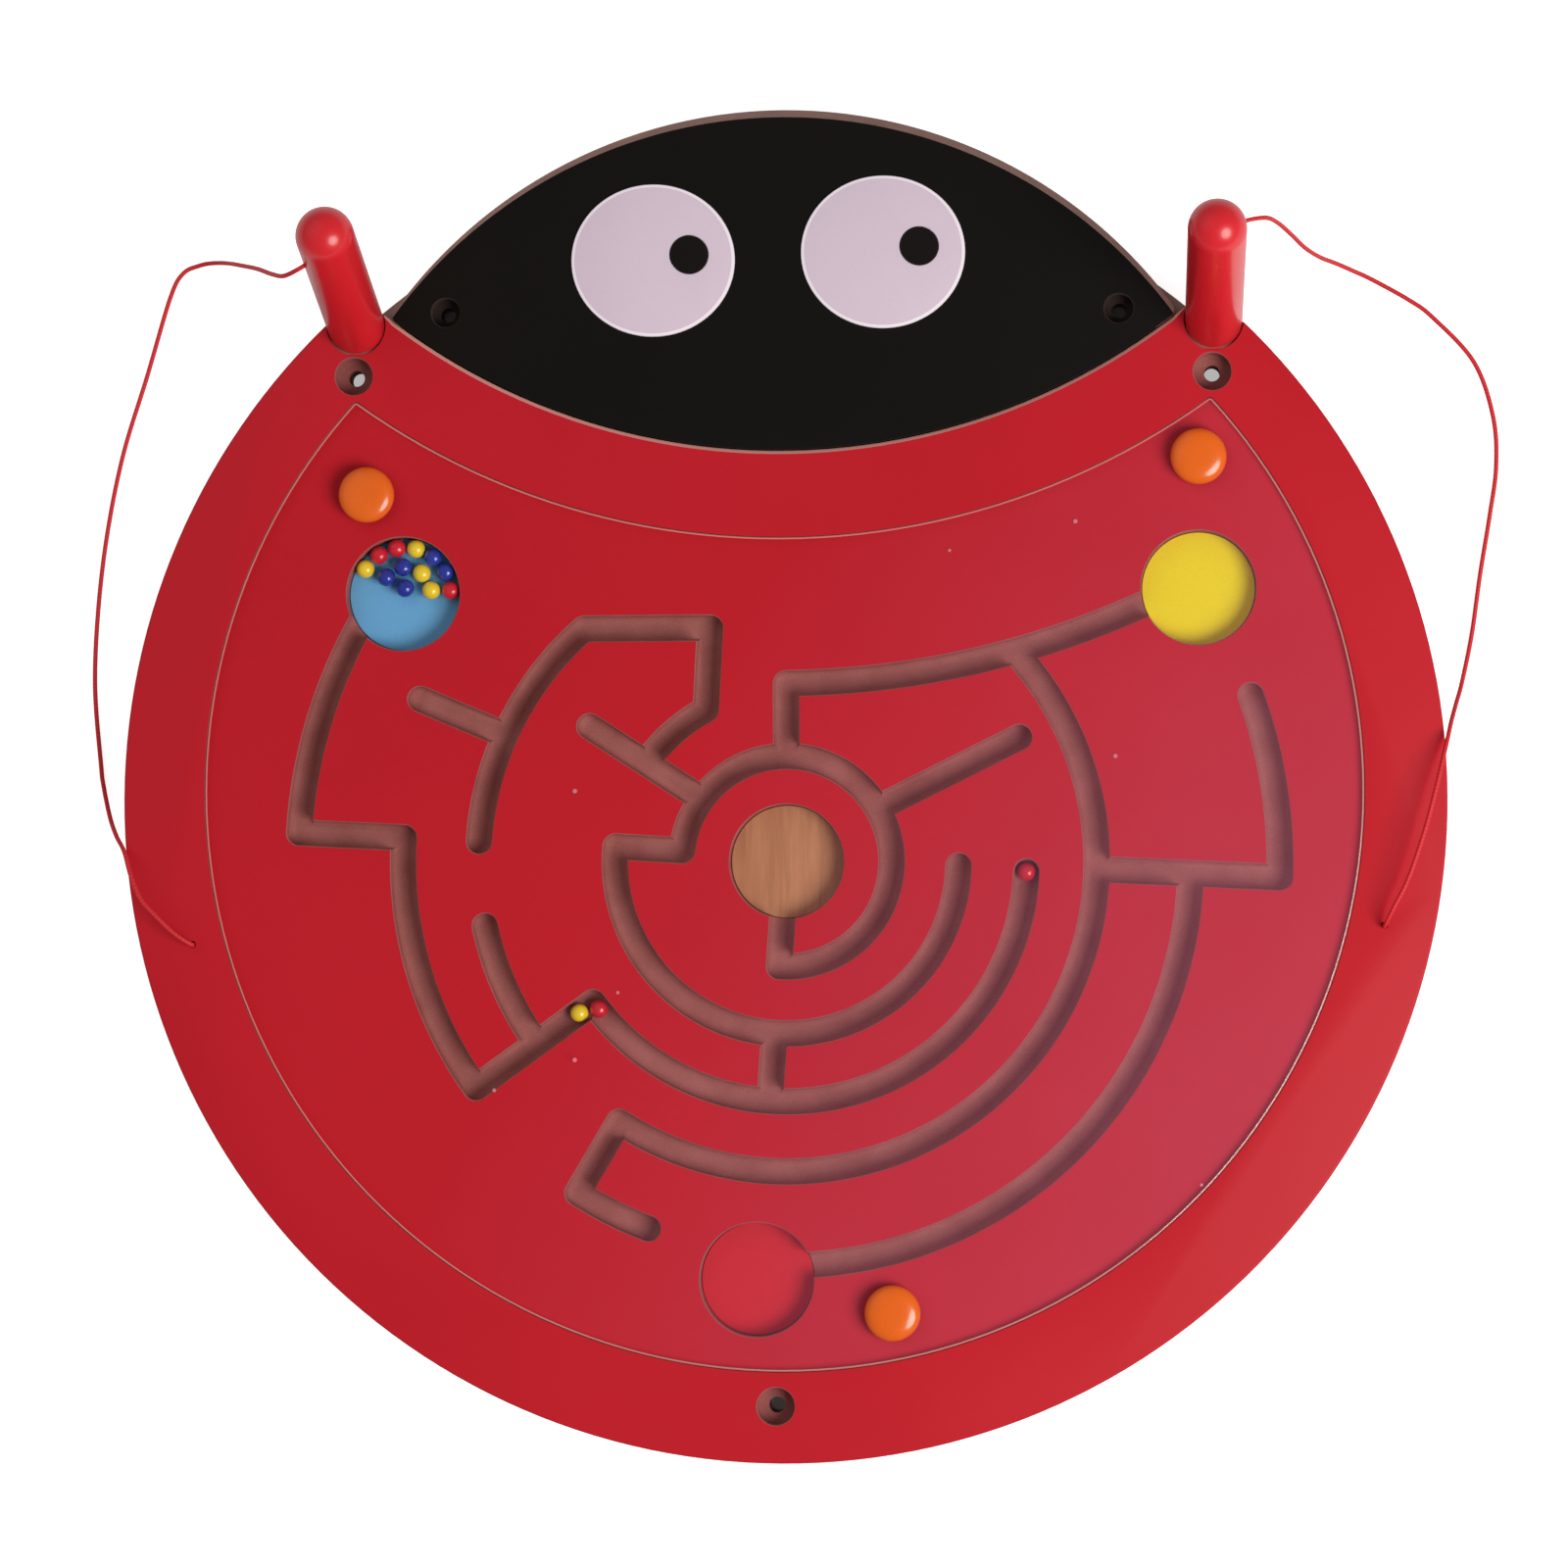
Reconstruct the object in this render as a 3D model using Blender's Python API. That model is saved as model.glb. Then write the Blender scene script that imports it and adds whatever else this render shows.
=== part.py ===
"""Activity wall panel: a round bead maze with a head, worked by two magnet wands.

The panel lies on its back: X to the right, Y towards the head, +Z out of the face. The origin
is the centre of the round body on the back face. Lengths are in metres, angles in degrees.
"""
import math

import bmesh
import bpy
from mathutils import Matrix, Vector

# Fits and facets shared by all pieces
SEAT_GAP = 0.0003        # left between two pieces that touch
OVERRUN = 0.004          # how far a cutter runs past the face that it opens
ARC_TOLERANCE = 0.0003   # how far a chord may lie inside its arc
FEWEST_CHORDS = 12
SMOOTH_ANGLE = 40.0

# Boards
BACK_THICKNESS = 0.006
BACK_INSET = 0.010       # the back panel stays this far inside the boards' outline
BOARD_THICKNESS = 0.018
BODY_RADIUS = 0.290
NECK_RADIUS = 0.283      # concave edge that the head nests in
NECK_LOW_SHARE = 0.5262  # its lowest point above the body's centre, of the body's radius
NECK_GAP = 0.0006        # open joint between body and head
HORN_CORNER = 0.004
HEAD_RADIUS = 0.2122
HEAD_TOP_SHARE = 1.0476  # top of the head above the body's centre, of the body's radius
HEAD_CORNER = 0.005
HEAD_LEAN = 0.0046       # the bare slanted edge over the head is this wide, and runs out at the tips
HEAD_LEAN_DEPTH = 0.010
BODY_EASING = 0.001      # eased edges of the painted body board

# Cover sheet and the rebate that it lies in
COVER_THICKNESS = 0.003
RIM_WIDTH = 0.036        # red rim outside the cover
COVER_CENTRE_Y = 0.004
BROW_WIDTH = 0.038       # band between the concave edge and the cover
COVER_CORNER = 0.0015
COVER_EASING = 0.0004

# Grooves and wells
GROOVE_WIDTH = 0.011
GROOVE_DEPTH = 0.009
GROOVE_FILLET = 0.004
FILLET_STEPS = 2
WELL_RADIUS = 0.025
DISC_THICKNESS = 0.002
TOP_RUN_RISE = 0.004     # how far the top groove passes above the middle of the yellow well
TOP_RUN_END_SHARE = 0.7  # it stops this far short of the well's middle, of the well's radius
SHARP_TURN = 20.0        # a groove that turns by more has a mitred corner

# Places in the maze, as shares of the cover's radius
MAZE_CENTRE_SHARE = (0.0087, -0.1075)
WELL_SHARES = {
    "blue": (-0.657, 0.3567),
    "yellow": (0.718, 0.3626),
    "wood": MAZE_CENTRE_SHARE,
    "red": (-0.0425, -0.8272),
}
CAP_SHARES = {
    "left": (-0.7187, 0.5273),
    "right": (0.7179, 0.5866),
    "lower": (0.1917, -0.8824),
}

# Runs of each groove: share of the cover's radius, then first and last angle round the maze centre
INNER_SHARE, SECOND_SHARE, THIRD_SHARE, FOURTH_SHARE = 0.1815, 0.2967, 0.4137, 0.534
FIFTH_LEFT_SHARE, FIFTH_LOW_SHARE, FIFTH_RIGHT_SHARE, OUTER_SHARE = 0.6646, 0.676, 0.695, 0.8475
GROOVE_RUN_SHARES = {
    "centre": ((0.07, -94, -94), (INNER_SHARE, -94, 174), (SECOND_SHARE, 175, 358.5)),
    "link": ((SECOND_SHARE, -94, -94), (THIRD_SHARE, -94, -94)),
    "left": ((THIRD_SHARE, -2.5, -144), (FIFTH_LEFT_SHARE, -144, -183.6), (OUTER_SHARE, -183.4, -211.5)),
    "left_spur": ((FOURTH_SHARE, -168, -144),),
    "radial": ((INNER_SHARE, 143.6, 143.6), (THIRD_SHARE, 145.6, 145.6)),
    "crook": ((FOURTH_SHARE, 176.2, 131.1), (0.4244, 108.1, 108.1), (SECOND_SHARE, 118, 144.7)),
    "crook_spur": ((FOURTH_SHARE, 155.8, 155.8), (FIFTH_RIGHT_SHARE, 156.1, 156.1)),
    "right_spoke": ((INNER_SHARE, 30.2, 30.2), (0.4543, 28.0, 28.0)),
    "right_hook": ((FOURTH_SHARE, -1.5, -1.5), (OUTER_SHARE, -1.9, 19.6)),
    "red_run": ((FIFTH_RIGHT_SHARE, -1.7, -88.5),),
}
LONG_RUN_SHARES = ((FOURTH_SHARE, None, -122.8), (FIFTH_LOW_SHARE, -122.3, -110.7))
ROUND_STARTS = {"left", "left_spur", "crook"}
ROUND_ENDS = {"centre", "radial", "crook_spur", "right_spoke", "right_hook", "long"}

# Beads
BEAD_RADIUS = 0.004
BEAD_PLAY = 0.0005       # between neighbouring beads
BEAD_SEGMENTS, BEAD_RINGS = 12, 6
WALL_BEAD_FIRST = 4.7    # angle of the first of the beads that lie along the blue well's wall
WALL_BEADS = ("red_bead_l", "blue_bead_k", "blue_bead_j", "yellow_bead_d",
              "red_bead_c", "red_bead_b", "yellow_bead_a")
INNER_BEAD_SHARES = {    # places of the other beads round the well's middle, in bead pitches
    "yellow_bead_e": (0.906, 1.094),
    "yellow_bead_f": (1.40, 0.212),
    "blue_bead_g": (-0.07, 1.41),
    "blue_bead_h": (-0.94, 0.894),
    "blue_bead_i": (0.03, 0.325),
}
GROOVE_BEAD_SHARES = {   # share of the cover's radius and angle round the maze centre
    "red_bead_m": (THIRD_SHARE, -2.5),
    "red_bead_n": (THIRD_SHARE, -142.0),
    "yellow_bead_o": (0.4450, -144.0),
}

# Wall-screw holes with their counterbores
FIXING_INSET = 0.025     # from the body's edge
FIXING_STEP = 0.025      # round from the tip of the horn
LOWER_FIXING_ANGLE = 269.5
FIXING_RADIUS = 0.0035
FIXING_HEAD_RADIUS = 0.00825
HEAD_FIXING_INSET = 0.0265   # from the head's tip
HEAD_FIXING_RISE_SHARE = 0.4   # of the head's height there
HEAD_FIXING_RADIUS = 0.0032
HEAD_FIXING_HEAD_RADIUS = 0.0064
COUNTERBORE_DEPTH = 0.010

# Eyes
EYE_SHARES = {   # to the side, of the head's radius, and up, of the head's height there
    "left_eye": (-0.2653, 0.567),
    "right_eye": (0.2107, 0.5837),
}
EYE_HALF_WIDTH = 0.036
EYE_HALF_HEIGHT = 0.0335
EYE_THICKNESS = 0.0022
EYE_POCKET = 0.0012
EYE_EASING = 0.0006
PUPIL_RADIUS = 0.0084
PUPIL_THICKNESS = 0.001
PUPIL_POCKET = 0.0008
PUPIL_SHARES = (0.4417, 0.07)   # of the eye's half width and half height

# Wands and their sockets in the horns
WAND_INSETS = {"left": 0.0093, "right": 0.0080}   # from the body's edge to the socket's middle
WAND_STEPS = {"left": 0.0098, "right": 0.0108}    # round from the tip of the horn
WAND_TILT = 16.0         # the wands lean towards the head
WAND_RADIUS = 0.0125
WAND_LENGTH = 0.1155     # from the seat to the top of the dome
FOOT_ROUND = 0.0015
NOSE_RADIUS = 0.005
NOSE_LENGTH = 0.0095
NOSE_PLAY = 0.0004
NOSE_CHAMFER = 0.0008
SEAT_MARGIN = 0.0006     # the spot face is this much wider than the wand's foot
MAGNET_RADIUS = 0.0032
MAGNET_LENGTH = 0.004
CORD_HOLE_DROP = 0.016   # from the dome's centre down to the cord hole
CORD_HOLE_DEPTH = 0.008
CORD_HOLE_TURNS = {"left": 212.0, "right": 40.0}

# Cover screws and their dome caps
CAP_RADIUS = 0.01225
CAP_HEIGHT = 0.0062
CAP_WALL = 0.0014
CAP_SKIRT = 0.0012
WASHER_RADIUS = 0.0102
WASHER_THICKNESS = 0.0014
SCREW_RADIUS = 0.0018
SCREW_HEAD_RADIUS = 0.0038
SCREW_HEAD_HEIGHT = 0.0018
SCREW_LENGTH = 0.014
SCREW_PLAY = 0.0004

# Back screws
BACK_SCREW_INSET = 0.022
BACK_SCREW_ANGLES = (20.0, 160.0, 215.0, 245.0, 295.0, 325.0)
HEAD_SCREW_SHARES = (0.484, 0.4)   # to each side, of the head's radius, and up, of its height there
BACK_SCREW_LENGTH = 0.0145
BACK_SCREW_HEAD_RADIUS = 0.0037

# Cords and their knots
CORD_DIAMETER = 0.002
CORD_HOLE_RADIUS = 0.0015
CORD_STEP = 0.0065       # between the points of a cord's tube
KNOT_RADIUS = 0.0032
KNOT_POCKET_RADIUS = 0.0045
KNOT_POCKET_DEPTH = 0.007
CORD_LEAD = 0.003        # straight run at each end of a cord
CORD_PLACE_SHARES = {"left": (-0.8943, -0.2194), "right": (0.9052, -0.1907)}
# Each row is a place as shares of the body's radius, and a level: 0 on the floor, 1 just over
# the face of the board, 2 as high as the cord's hole in the wand
CORD_ROUTE_SHARES = {
    "left": (
        (-0.7186, 0.7655, 1.898), (-0.7433, 0.7742, 1.725), (-0.7771, 0.7914, 1.452),
        (-0.8133, 0.8063, 1.166), (-0.8478, 0.8194, 0.646), (-0.8789, 0.8247, 0.132),
        (-0.9002, 0.8223, 0), (-0.9256, 0.8104, 0), (-0.9451, 0.7729, 0),
        (-0.9803, 0.6532, 0), (-1.0169, 0.5334, 0), (-1.0409, 0.4137, 0),
        (-1.0551, 0.2939, 0), (-1.0596, 0.1741, 0), (-1.0499, 0.0544, 0),
        (-1.0450, 0.0243, 0.07), (-1.0308, -0.0241, 0.358), (-1.0140, -0.0546, 0.77),
        (-0.9974, -0.0788, 1.024), (-0.9845, -0.1159, 1.073), (-0.9688, -0.1500, 1.092),
        (-0.9466, -0.1751, 1.092), (-0.9180, -0.2032, 1.073),
    ),
    "right": (
        (0.7233, 0.8415, 1.907), (0.7418, 0.8402, 1.737), (0.7639, 0.8307, 1.502),
        (0.7865, 0.8185, 1.254), (0.8108, 0.8122, 1.018), (0.8381, 0.8085, 0.399),
        (0.8645, 0.8005, 0.091), (0.8932, 0.7879, 0), (0.9486, 0.7565, 0),
        (0.9846, 0.7295, 0), (1.0459, 0.6622, 0), (1.0744, 0.5798, 0),
        (1.0789, 0.5035, 0), (1.0691, 0.4286, 0), (1.0542, 0.3388, 0),
        (1.0414, 0.2490, 0), (1.0259, 0.1767, 0.111), (1.0153, 0.1426, 0.44),
        (1.0058, 0.1145, 0.852), (0.9986, 0.0870, 1.038), (0.9842, 0.0287, 1.11),
        (0.9684, -0.0320, 1.136), (0.9528, -0.0822, 1.136), (0.9367, -0.1264, 1.123),
        (0.9179, -0.1633, 1.097),
    ),
}

# Levels and sizes that follow
BOARD_Z = BACK_THICKNESS + SEAT_GAP
FACE_Z = BOARD_Z + BOARD_THICKNESS
REBATE_Z = FACE_Z - COVER_THICKNESS - SEAT_GAP
COVER_Z = REBATE_Z + SEAT_GAP
COVER_TOP = COVER_Z + COVER_THICKNESS
GROOVE_Z = REBATE_Z - GROOVE_DEPTH
WELL_Z = GROOVE_Z - DISC_THICKNESS - SEAT_GAP
COVER_RADIUS = BODY_RADIUS - RIM_WIDTH
BROW_RADIUS = NECK_RADIUS + BROW_WIDTH
BEAD_Z = GROOVE_Z + SEAT_GAP + BEAD_RADIUS
BEAD_PITCH = 2 * BEAD_RADIUS + BEAD_PLAY
CORD_RADIUS = CORD_DIAMETER / 2
BODY_CENTRE = Vector((0, 0))
NECK_CENTRE = Vector((0, NECK_LOW_SHARE * BODY_RADIUS + NECK_RADIUS))
HEAD_CENTRE = Vector((0, HEAD_TOP_SHARE * BODY_RADIUS - HEAD_RADIUS))
SEAT_RADIUS = WAND_RADIUS + SEAT_MARGIN
SEAT_SINK = SEAT_RADIUS * math.sin(math.radians(WAND_TILT))

# Colours, roughness and metallic value of each material
FINISHES = {
    "raw_board": ((0.30, 0.13, 0.10), 0.8, 0),
    "red_paint": ((0.47, 0.015, 0.025), 0.35, 0),
    "black_paint": ((0.008, 0.007, 0.006), 0.4, 0),
    "clear_acrylic": ((0.85, 0.75, 0.78), 0.08, 0),
    "eye_white": ((0.61, 0.53, 0.62), 0.3, 0),
    "orange_plastic": ((0.80, 0.16, 0.015), 0.25, 0),
    "blue_paint": ((0.11, 0.33, 0.55), 0.5, 0),
    "yellow_paint": ((0.80, 0.62, 0.03), 0.5, 0),
    "natural_wood": ((0.49, 0.22, 0.09), 0.6, 0),
    "red_lacquer": ((0.62, 0.015, 0.03), 0.2, 0),
    "yellow_bead": ((0.83, 0.60, 0.03), 0.25, 0),
    "red_bead": ((0.68, 0.02, 0.04), 0.25, 0),
    "blue_bead": ((0.03, 0.05, 0.32), 0.25, 0),
    "magnet": ((0.55, 0.55, 0.56), 0.3, 1),
    "steel": ((0.6, 0.6, 0.6), 0.35, 1),
    "cord": ((0.60, 0.02, 0.03), 0.8, 0),
}


def polar(radius, degrees):
    angle = math.radians(degrees)
    return Vector((radius * math.cos(angle), radius * math.sin(angle)))


def chords(radius, degrees):
    """Number of chords that keep an arc of this sweep within ARC_TOLERANCE."""
    step = 2 * math.degrees(math.acos(1 - ARC_TOLERANCE / radius))
    return max(1, math.ceil(abs(degrees) / step))


def circle_chords(radius):
    """Chords of a full circle, a whole number in each quarter."""
    return 4 * max(math.ceil(FEWEST_CHORDS / 4), chords(radius, 90))


def arc(centre, radius, start, end):
    """Points along an arc, both ends included."""
    steps = chords(radius, end - start)
    return [centre + polar(radius, start + (end - start) * i / steps) for i in range(steps + 1)]


def loop_of(arcs, model=None):
    """One closed outline from arcs that follow each other, with as many points as the model's."""
    points = []
    for (centre, radius, start, end), (_, model_radius, first, last) in zip(arcs, model or arcs):
        steps = chords(model_radius, last - first)
        points += [centre + polar(radius, start + (end - start) * i / steps) for i in range(steps)]
    return points


def meeting(centre, radius, other, other_radius):
    """The right-hand point where two circles meet."""
    apart = (other - centre).length
    along = (radius ** 2 - other_radius ** 2 + apart ** 2) / (2 * apart)
    aside = math.sqrt(radius ** 2 - along ** 2)
    forward = (other - centre) / apart
    sideways = Vector((forward.y, -forward.x))
    return centre + forward * along + sideways * aside


def angle_of(vector):
    return math.degrees(math.atan2(vector.y, vector.x))


def mirrored(point):
    return Vector((-point.x, point.y))


def crescent(centre, radius, neck_radius, corner):
    """Arcs round a disc with the neck's disc taken out of its top, corners rounded."""
    tip = meeting(centre, radius - corner, NECK_CENTRE, neck_radius + corner)
    outer = angle_of(tip - centre)
    inner = angle_of(NECK_CENTRE - tip)
    neck = angle_of(tip - NECK_CENTRE)
    return [
        (centre, radius, 180 - outer, 360 + outer),
        (tip, corner, outer, inner),
        (NECK_CENTRE, neck_radius, neck, -180 - neck),
        (mirrored(tip), corner, 180 - inner, 180 - outer),
    ]


def lens(centre, radius, neck_radius, corner):
    """Arcs round the part of a disc that lies inside the neck's disc, corners rounded."""
    tip = meeting(centre, radius - corner, NECK_CENTRE, neck_radius - corner)
    outer = angle_of(tip - centre)
    neck = angle_of(tip - NECK_CENTRE)
    return [
        (centre, radius, outer, 180 - outer),
        (mirrored(tip), corner, 180 - outer, 180 - neck),
        (NECK_CENTRE, neck_radius, 180 - neck, 360 + neck),
        (tip, corner, neck, outer),
    ]


def ellipse(centre, half_width, half_height):
    steps = circle_chords(half_width)
    return [centre + Vector((half_width * math.cos(math.tau * i / steps),
                             half_height * math.sin(math.tau * i / steps))) for i in range(steps)]


def add_loft(form, levels):
    """Add a solid through outlines of as many points each, given with their heights."""
    rings = [[form.verts.new((p.x, p.y, z)) for p in outline] for outline, z in levels]
    form.faces.new(rings[0][::-1])
    form.faces.new(rings[-1])
    for low, high in zip(rings, rings[1:]):
        for i in range(len(low)):
            j = (i + 1) % len(low)
            form.faces.new((low[i], low[j], high[j], high[i]))


def add_prism(form, outline, bottom, top):
    add_loft(form, [(outline, bottom), (outline, top)])


def add_turned(form, profile, place=Matrix.Identity(4), steps=None, ring=False):
    """Add a solid of revolution; the profile of (radius, z) runs from end to end, or round a ring."""
    steps = steps or circle_chords(max(radius for radius, _ in profile))
    rings = []
    for radius, z in profile:
        if radius == 0:
            rings.append([form.verts.new(place @ Vector((0, 0, z)))])
            continue
        spots = [polar(radius, 360 * i / steps) for i in range(steps)]
        rings.append([form.verts.new(place @ Vector((p.x, p.y, z))) for p in spots])
    following = rings[1:] + rings[:1] if ring else rings[1:]
    for lower, upper in zip(rings, following):
        for i in range(steps):
            j = (i + 1) % steps
            corners = (lower[i % len(lower)], lower[j % len(lower)], upper[j % len(upper)], upper[i % len(upper)])
            form.faces.new(list(dict.fromkeys(corners)))
    for end in (rings[0], rings[-1]):
        if len(end) > 1 and not ring:
            form.faces.new(end)


def material(finish):
    found = bpy.data.materials.get(finish)
    if found:
        return found
    colour, roughness, metallic = FINISHES[finish]
    made = bpy.data.materials.new(finish)
    made.use_nodes = True
    shader = made.node_tree.nodes["Principled BSDF"]
    shader.inputs["Base Color"].default_value = (*colour, 1)
    shader.inputs["Roughness"].default_value = roughness
    shader.inputs["Metallic"].default_value = metallic
    made.diffuse_color = (*colour, 1)
    return made


def piece(name, form, finish, parent=None, smooth=True):
    """Turn a bmesh into a named object with its own finish."""
    bmesh.ops.recalc_face_normals(form, faces=form.faces)
    mesh = bpy.data.meshes.new(name)
    form.to_mesh(mesh)
    form.free()
    if smooth:
        mesh.shade_smooth()
        mesh.set_sharp_from_angle(angle=math.radians(SMOOTH_ANGLE))
    made = bpy.data.objects.new(name, mesh)
    made.data.materials.append(material(finish))
    made.parent = parent
    bpy.context.scene.collection.objects.link(made)
    return made


def cutter(name, form):
    """A tool for a Boolean, which is no piece of the object."""
    made = piece(name, form, "steel", smooth=False)
    made.hide_render = True
    made.display_type = "WIRE"
    return made


def cut(target, tool):
    step = target.modifiers.new(tool.name, "BOOLEAN")
    step.operation = "DIFFERENCE"
    step.solver = "EXACT"
    step.object = tool


def ease(target, width, steps=1):
    """Round over the square rims of a board, before it is cut."""
    step = target.modifiers.new("easing", "BEVEL")
    step.width = width
    step.segments = steps
    step.limit_method = "ANGLE"
    step.angle_limit = math.radians(60)


def axis_point(name, place):
    """An empty on a joint's axis, for the pieces that turn about it."""
    made = bpy.data.objects.new(name, None)
    made.location = place
    bpy.context.scene.collection.objects.link(made)
    return made


def maze_spot(share, degrees):
    return MAZE_CENTRE + polar(share * COVER_RADIUS, degrees)


def cover_place(shares):
    return Vector(shares) * COVER_RADIUS


def by_horn(side, inset, step):
    """A place beside a horn: inset from the body's edge, and a step round from the horn's tip."""
    radius = BODY_RADIUS - inset
    place = polar(radius, angle_of(HORN_TIP) - math.degrees(step / radius))
    return place if side == "right" else mirrored(place)


def on_head(x, rise_share):
    """A place on the head, up from its lower edge by a share of its height at that x."""
    low = NECK_CENTRE.y - math.sqrt(NECK_RADIUS ** 2 - x ** 2)
    high = HEAD_CENTRE.y + math.sqrt(HEAD_RADIUS ** 2 - x ** 2)
    return Vector((x, low + (high - low) * rise_share))


MAZE_CENTRE = cover_place(MAZE_CENTRE_SHARE)
HORN_TIP = meeting(BODY_CENTRE, BODY_RADIUS, NECK_CENTRE, NECK_RADIUS)
HEAD_TIP = meeting(HEAD_CENTRE, HEAD_RADIUS, NECK_CENTRE, NECK_RADIUS)
FIXING_PLACES = [by_horn("right", FIXING_INSET, FIXING_STEP), by_horn("left", FIXING_INSET, FIXING_STEP),
                 polar(BODY_RADIUS - FIXING_INSET, LOWER_FIXING_ANGLE)]
HEAD_FIXING_PLACES = [on_head(side * (HEAD_TIP.x - HEAD_FIXING_INSET), HEAD_FIXING_RISE_SHARE)
                      for side in (1, -1)]
BODY_SCREW_PLACES = [polar(BODY_RADIUS - BACK_SCREW_INSET, a) for a in BACK_SCREW_ANGLES]
HEAD_SCREW_PLACES = [on_head(side * HEAD_SCREW_SHARES[0] * HEAD_RADIUS, HEAD_SCREW_SHARES[1])
                     for side in (-1, 1)]
CORD_PLACES = {side: Vector(shares) * BODY_RADIUS for side, shares in CORD_PLACE_SHARES.items()}


def upright(place):
    return Matrix.Translation((place.x, place.y, 0))


def wand_frame(side):
    """Where a wand stands: its seat's middle, with local Z along the wand."""
    spot = by_horn(side, WAND_INSETS[side], WAND_STEPS[side])
    place = Vector((spot.x, spot.y, FACE_Z))
    lean = Matrix.Rotation(-math.radians(WAND_TILT), 4, "X")
    sink = Matrix.Translation((0, 0, -SEAT_SINK / math.cos(math.radians(WAND_TILT))))
    return Matrix.Translation(place) @ lean @ sink


def fixing_profile(hole, head):
    ledge = FACE_Z - COUNTERBORE_DEPTH
    return [(hole, -OVERRUN), (hole, ledge), (head, ledge), (head, FACE_Z + OVERRUN)]


def back_screw_profile(play):
    """Countersunk screw from its head at the back, or its hole when play is given."""
    top = BACK_SCREW_LENGTH + play
    shank = SCREW_RADIUS + play
    head = BACK_SCREW_HEAD_RADIUS + play
    sink = BACK_SCREW_HEAD_RADIUS - SCREW_RADIUS
    return [(head, SEAT_GAP), (shank, SEAT_GAP + sink), (shank, top - shank / 2), (shank / 3, top)]


def make_back_panel():
    radius, head = BODY_RADIUS - BACK_INSET, HEAD_RADIUS - BACK_INSET
    notch = meeting(BODY_CENTRE, radius, HEAD_CENTRE, head)
    low, high = angle_of(notch), angle_of(notch - HEAD_CENTRE)
    form = bmesh.new()
    outline = loop_of([(BODY_CENTRE, radius, 180 - low, 360 + low), (HEAD_CENTRE, head, high, 180 - high)])
    add_prism(form, outline, 0, BACK_THICKNESS)
    panel = piece("back_panel", form, "raw_board", smooth=False)
    tool = bmesh.new()
    for places, radius in ((FIXING_PLACES, FIXING_RADIUS), (HEAD_FIXING_PLACES, HEAD_FIXING_RADIUS)):
        for place in places:
            add_turned(tool, [(radius, -OVERRUN), (radius, BACK_THICKNESS + OVERRUN)], upright(place))
    for place in BODY_SCREW_PLACES + HEAD_SCREW_PLACES:
        profile = back_screw_profile(SCREW_PLAY)
        mouth = (profile[0][0], -OVERRUN)
        add_turned(tool, [mouth] + profile[:2] + [(profile[1][0], BACK_THICKNESS + OVERRUN)], upright(place))
    cut(panel, cutter("back_panel_holes", tool))


def groove_profile():
    """Half of the router bit's outline, from the middle of its tip up to its axis."""
    half = GROOVE_WIDTH / 2
    points = [(0, GROOVE_Z)]
    for i in range(FILLET_STEPS + 1):
        turn = math.pi / 2 * i / FILLET_STEPS
        points.append((half - GROOVE_FILLET + GROOVE_FILLET * math.sin(turn),
                       GROOVE_Z + GROOVE_FILLET * (1 - math.cos(turn))))
    top = REBATE_Z + OVERRUN
    return points + [(half, top), (0, top)]


def fan(first, turn):
    """Unit normals from one direction through a turn, both ends included."""
    steps = max(1, math.ceil(abs(turn) / (180 / 8)))
    return [Matrix.Rotation(math.radians(turn * i / steps), 2) @ first for i in range(steps + 1)]


def side_normals(path):
    """Centre and normal at each station along the right-hand side of a path."""
    ways = [(b - a).normalized() for a, b in zip(path, path[1:])]
    rights = [Vector((way.y, -way.x)) for way in ways]
    stations = [(path[0], rights[0])]
    for spot, before, after in zip(path[1:-1], rights, rights[1:]):
        turn = math.degrees(math.atan2(before.x * after.y - before.y * after.x, before.dot(after)))
        if turn > SHARP_TURN:
            stations += [(spot, normal) for normal in fan(before, turn)]
        else:
            stations.append((spot, (before + after).normalized() / math.cos(math.radians(turn / 2))))
    return stations + [(path[-1], rights[-1])]


def add_groove(name, path, round_start, round_end):
    """The way that the router bit clears along a path."""
    going = side_normals(path)
    coming = side_normals(path[::-1])
    if round_end:
        going += [(path[-1], normal) for normal in fan(going[-1][1], 180)[1:-1]]
    if round_start:
        coming += [(path[0], normal) for normal in fan(coming[-1][1], 180)[1:-1]]
    form = bmesh.new()
    columns = []
    for centre, normal in going + coming:
        column = [form.verts.new((centre.x + normal.x * u, centre.y + normal.y * u, z))
                  for u, z in groove_profile()]
        columns.append(column)
    for left, right in zip(columns, columns[1:] + columns[:1]):
        for k in range(len(left) - 1):
            form.faces.new((left[k], right[k], right[k + 1], left[k + 1]))
    bmesh.ops.remove_doubles(form, verts=form.verts, dist=ARC_TOLERANCE / 100)
    bmesh.ops.dissolve_degenerate(form, edges=form.edges, dist=ARC_TOLERANCE / 100)
    return cutter(name + "_groove", form)


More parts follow.
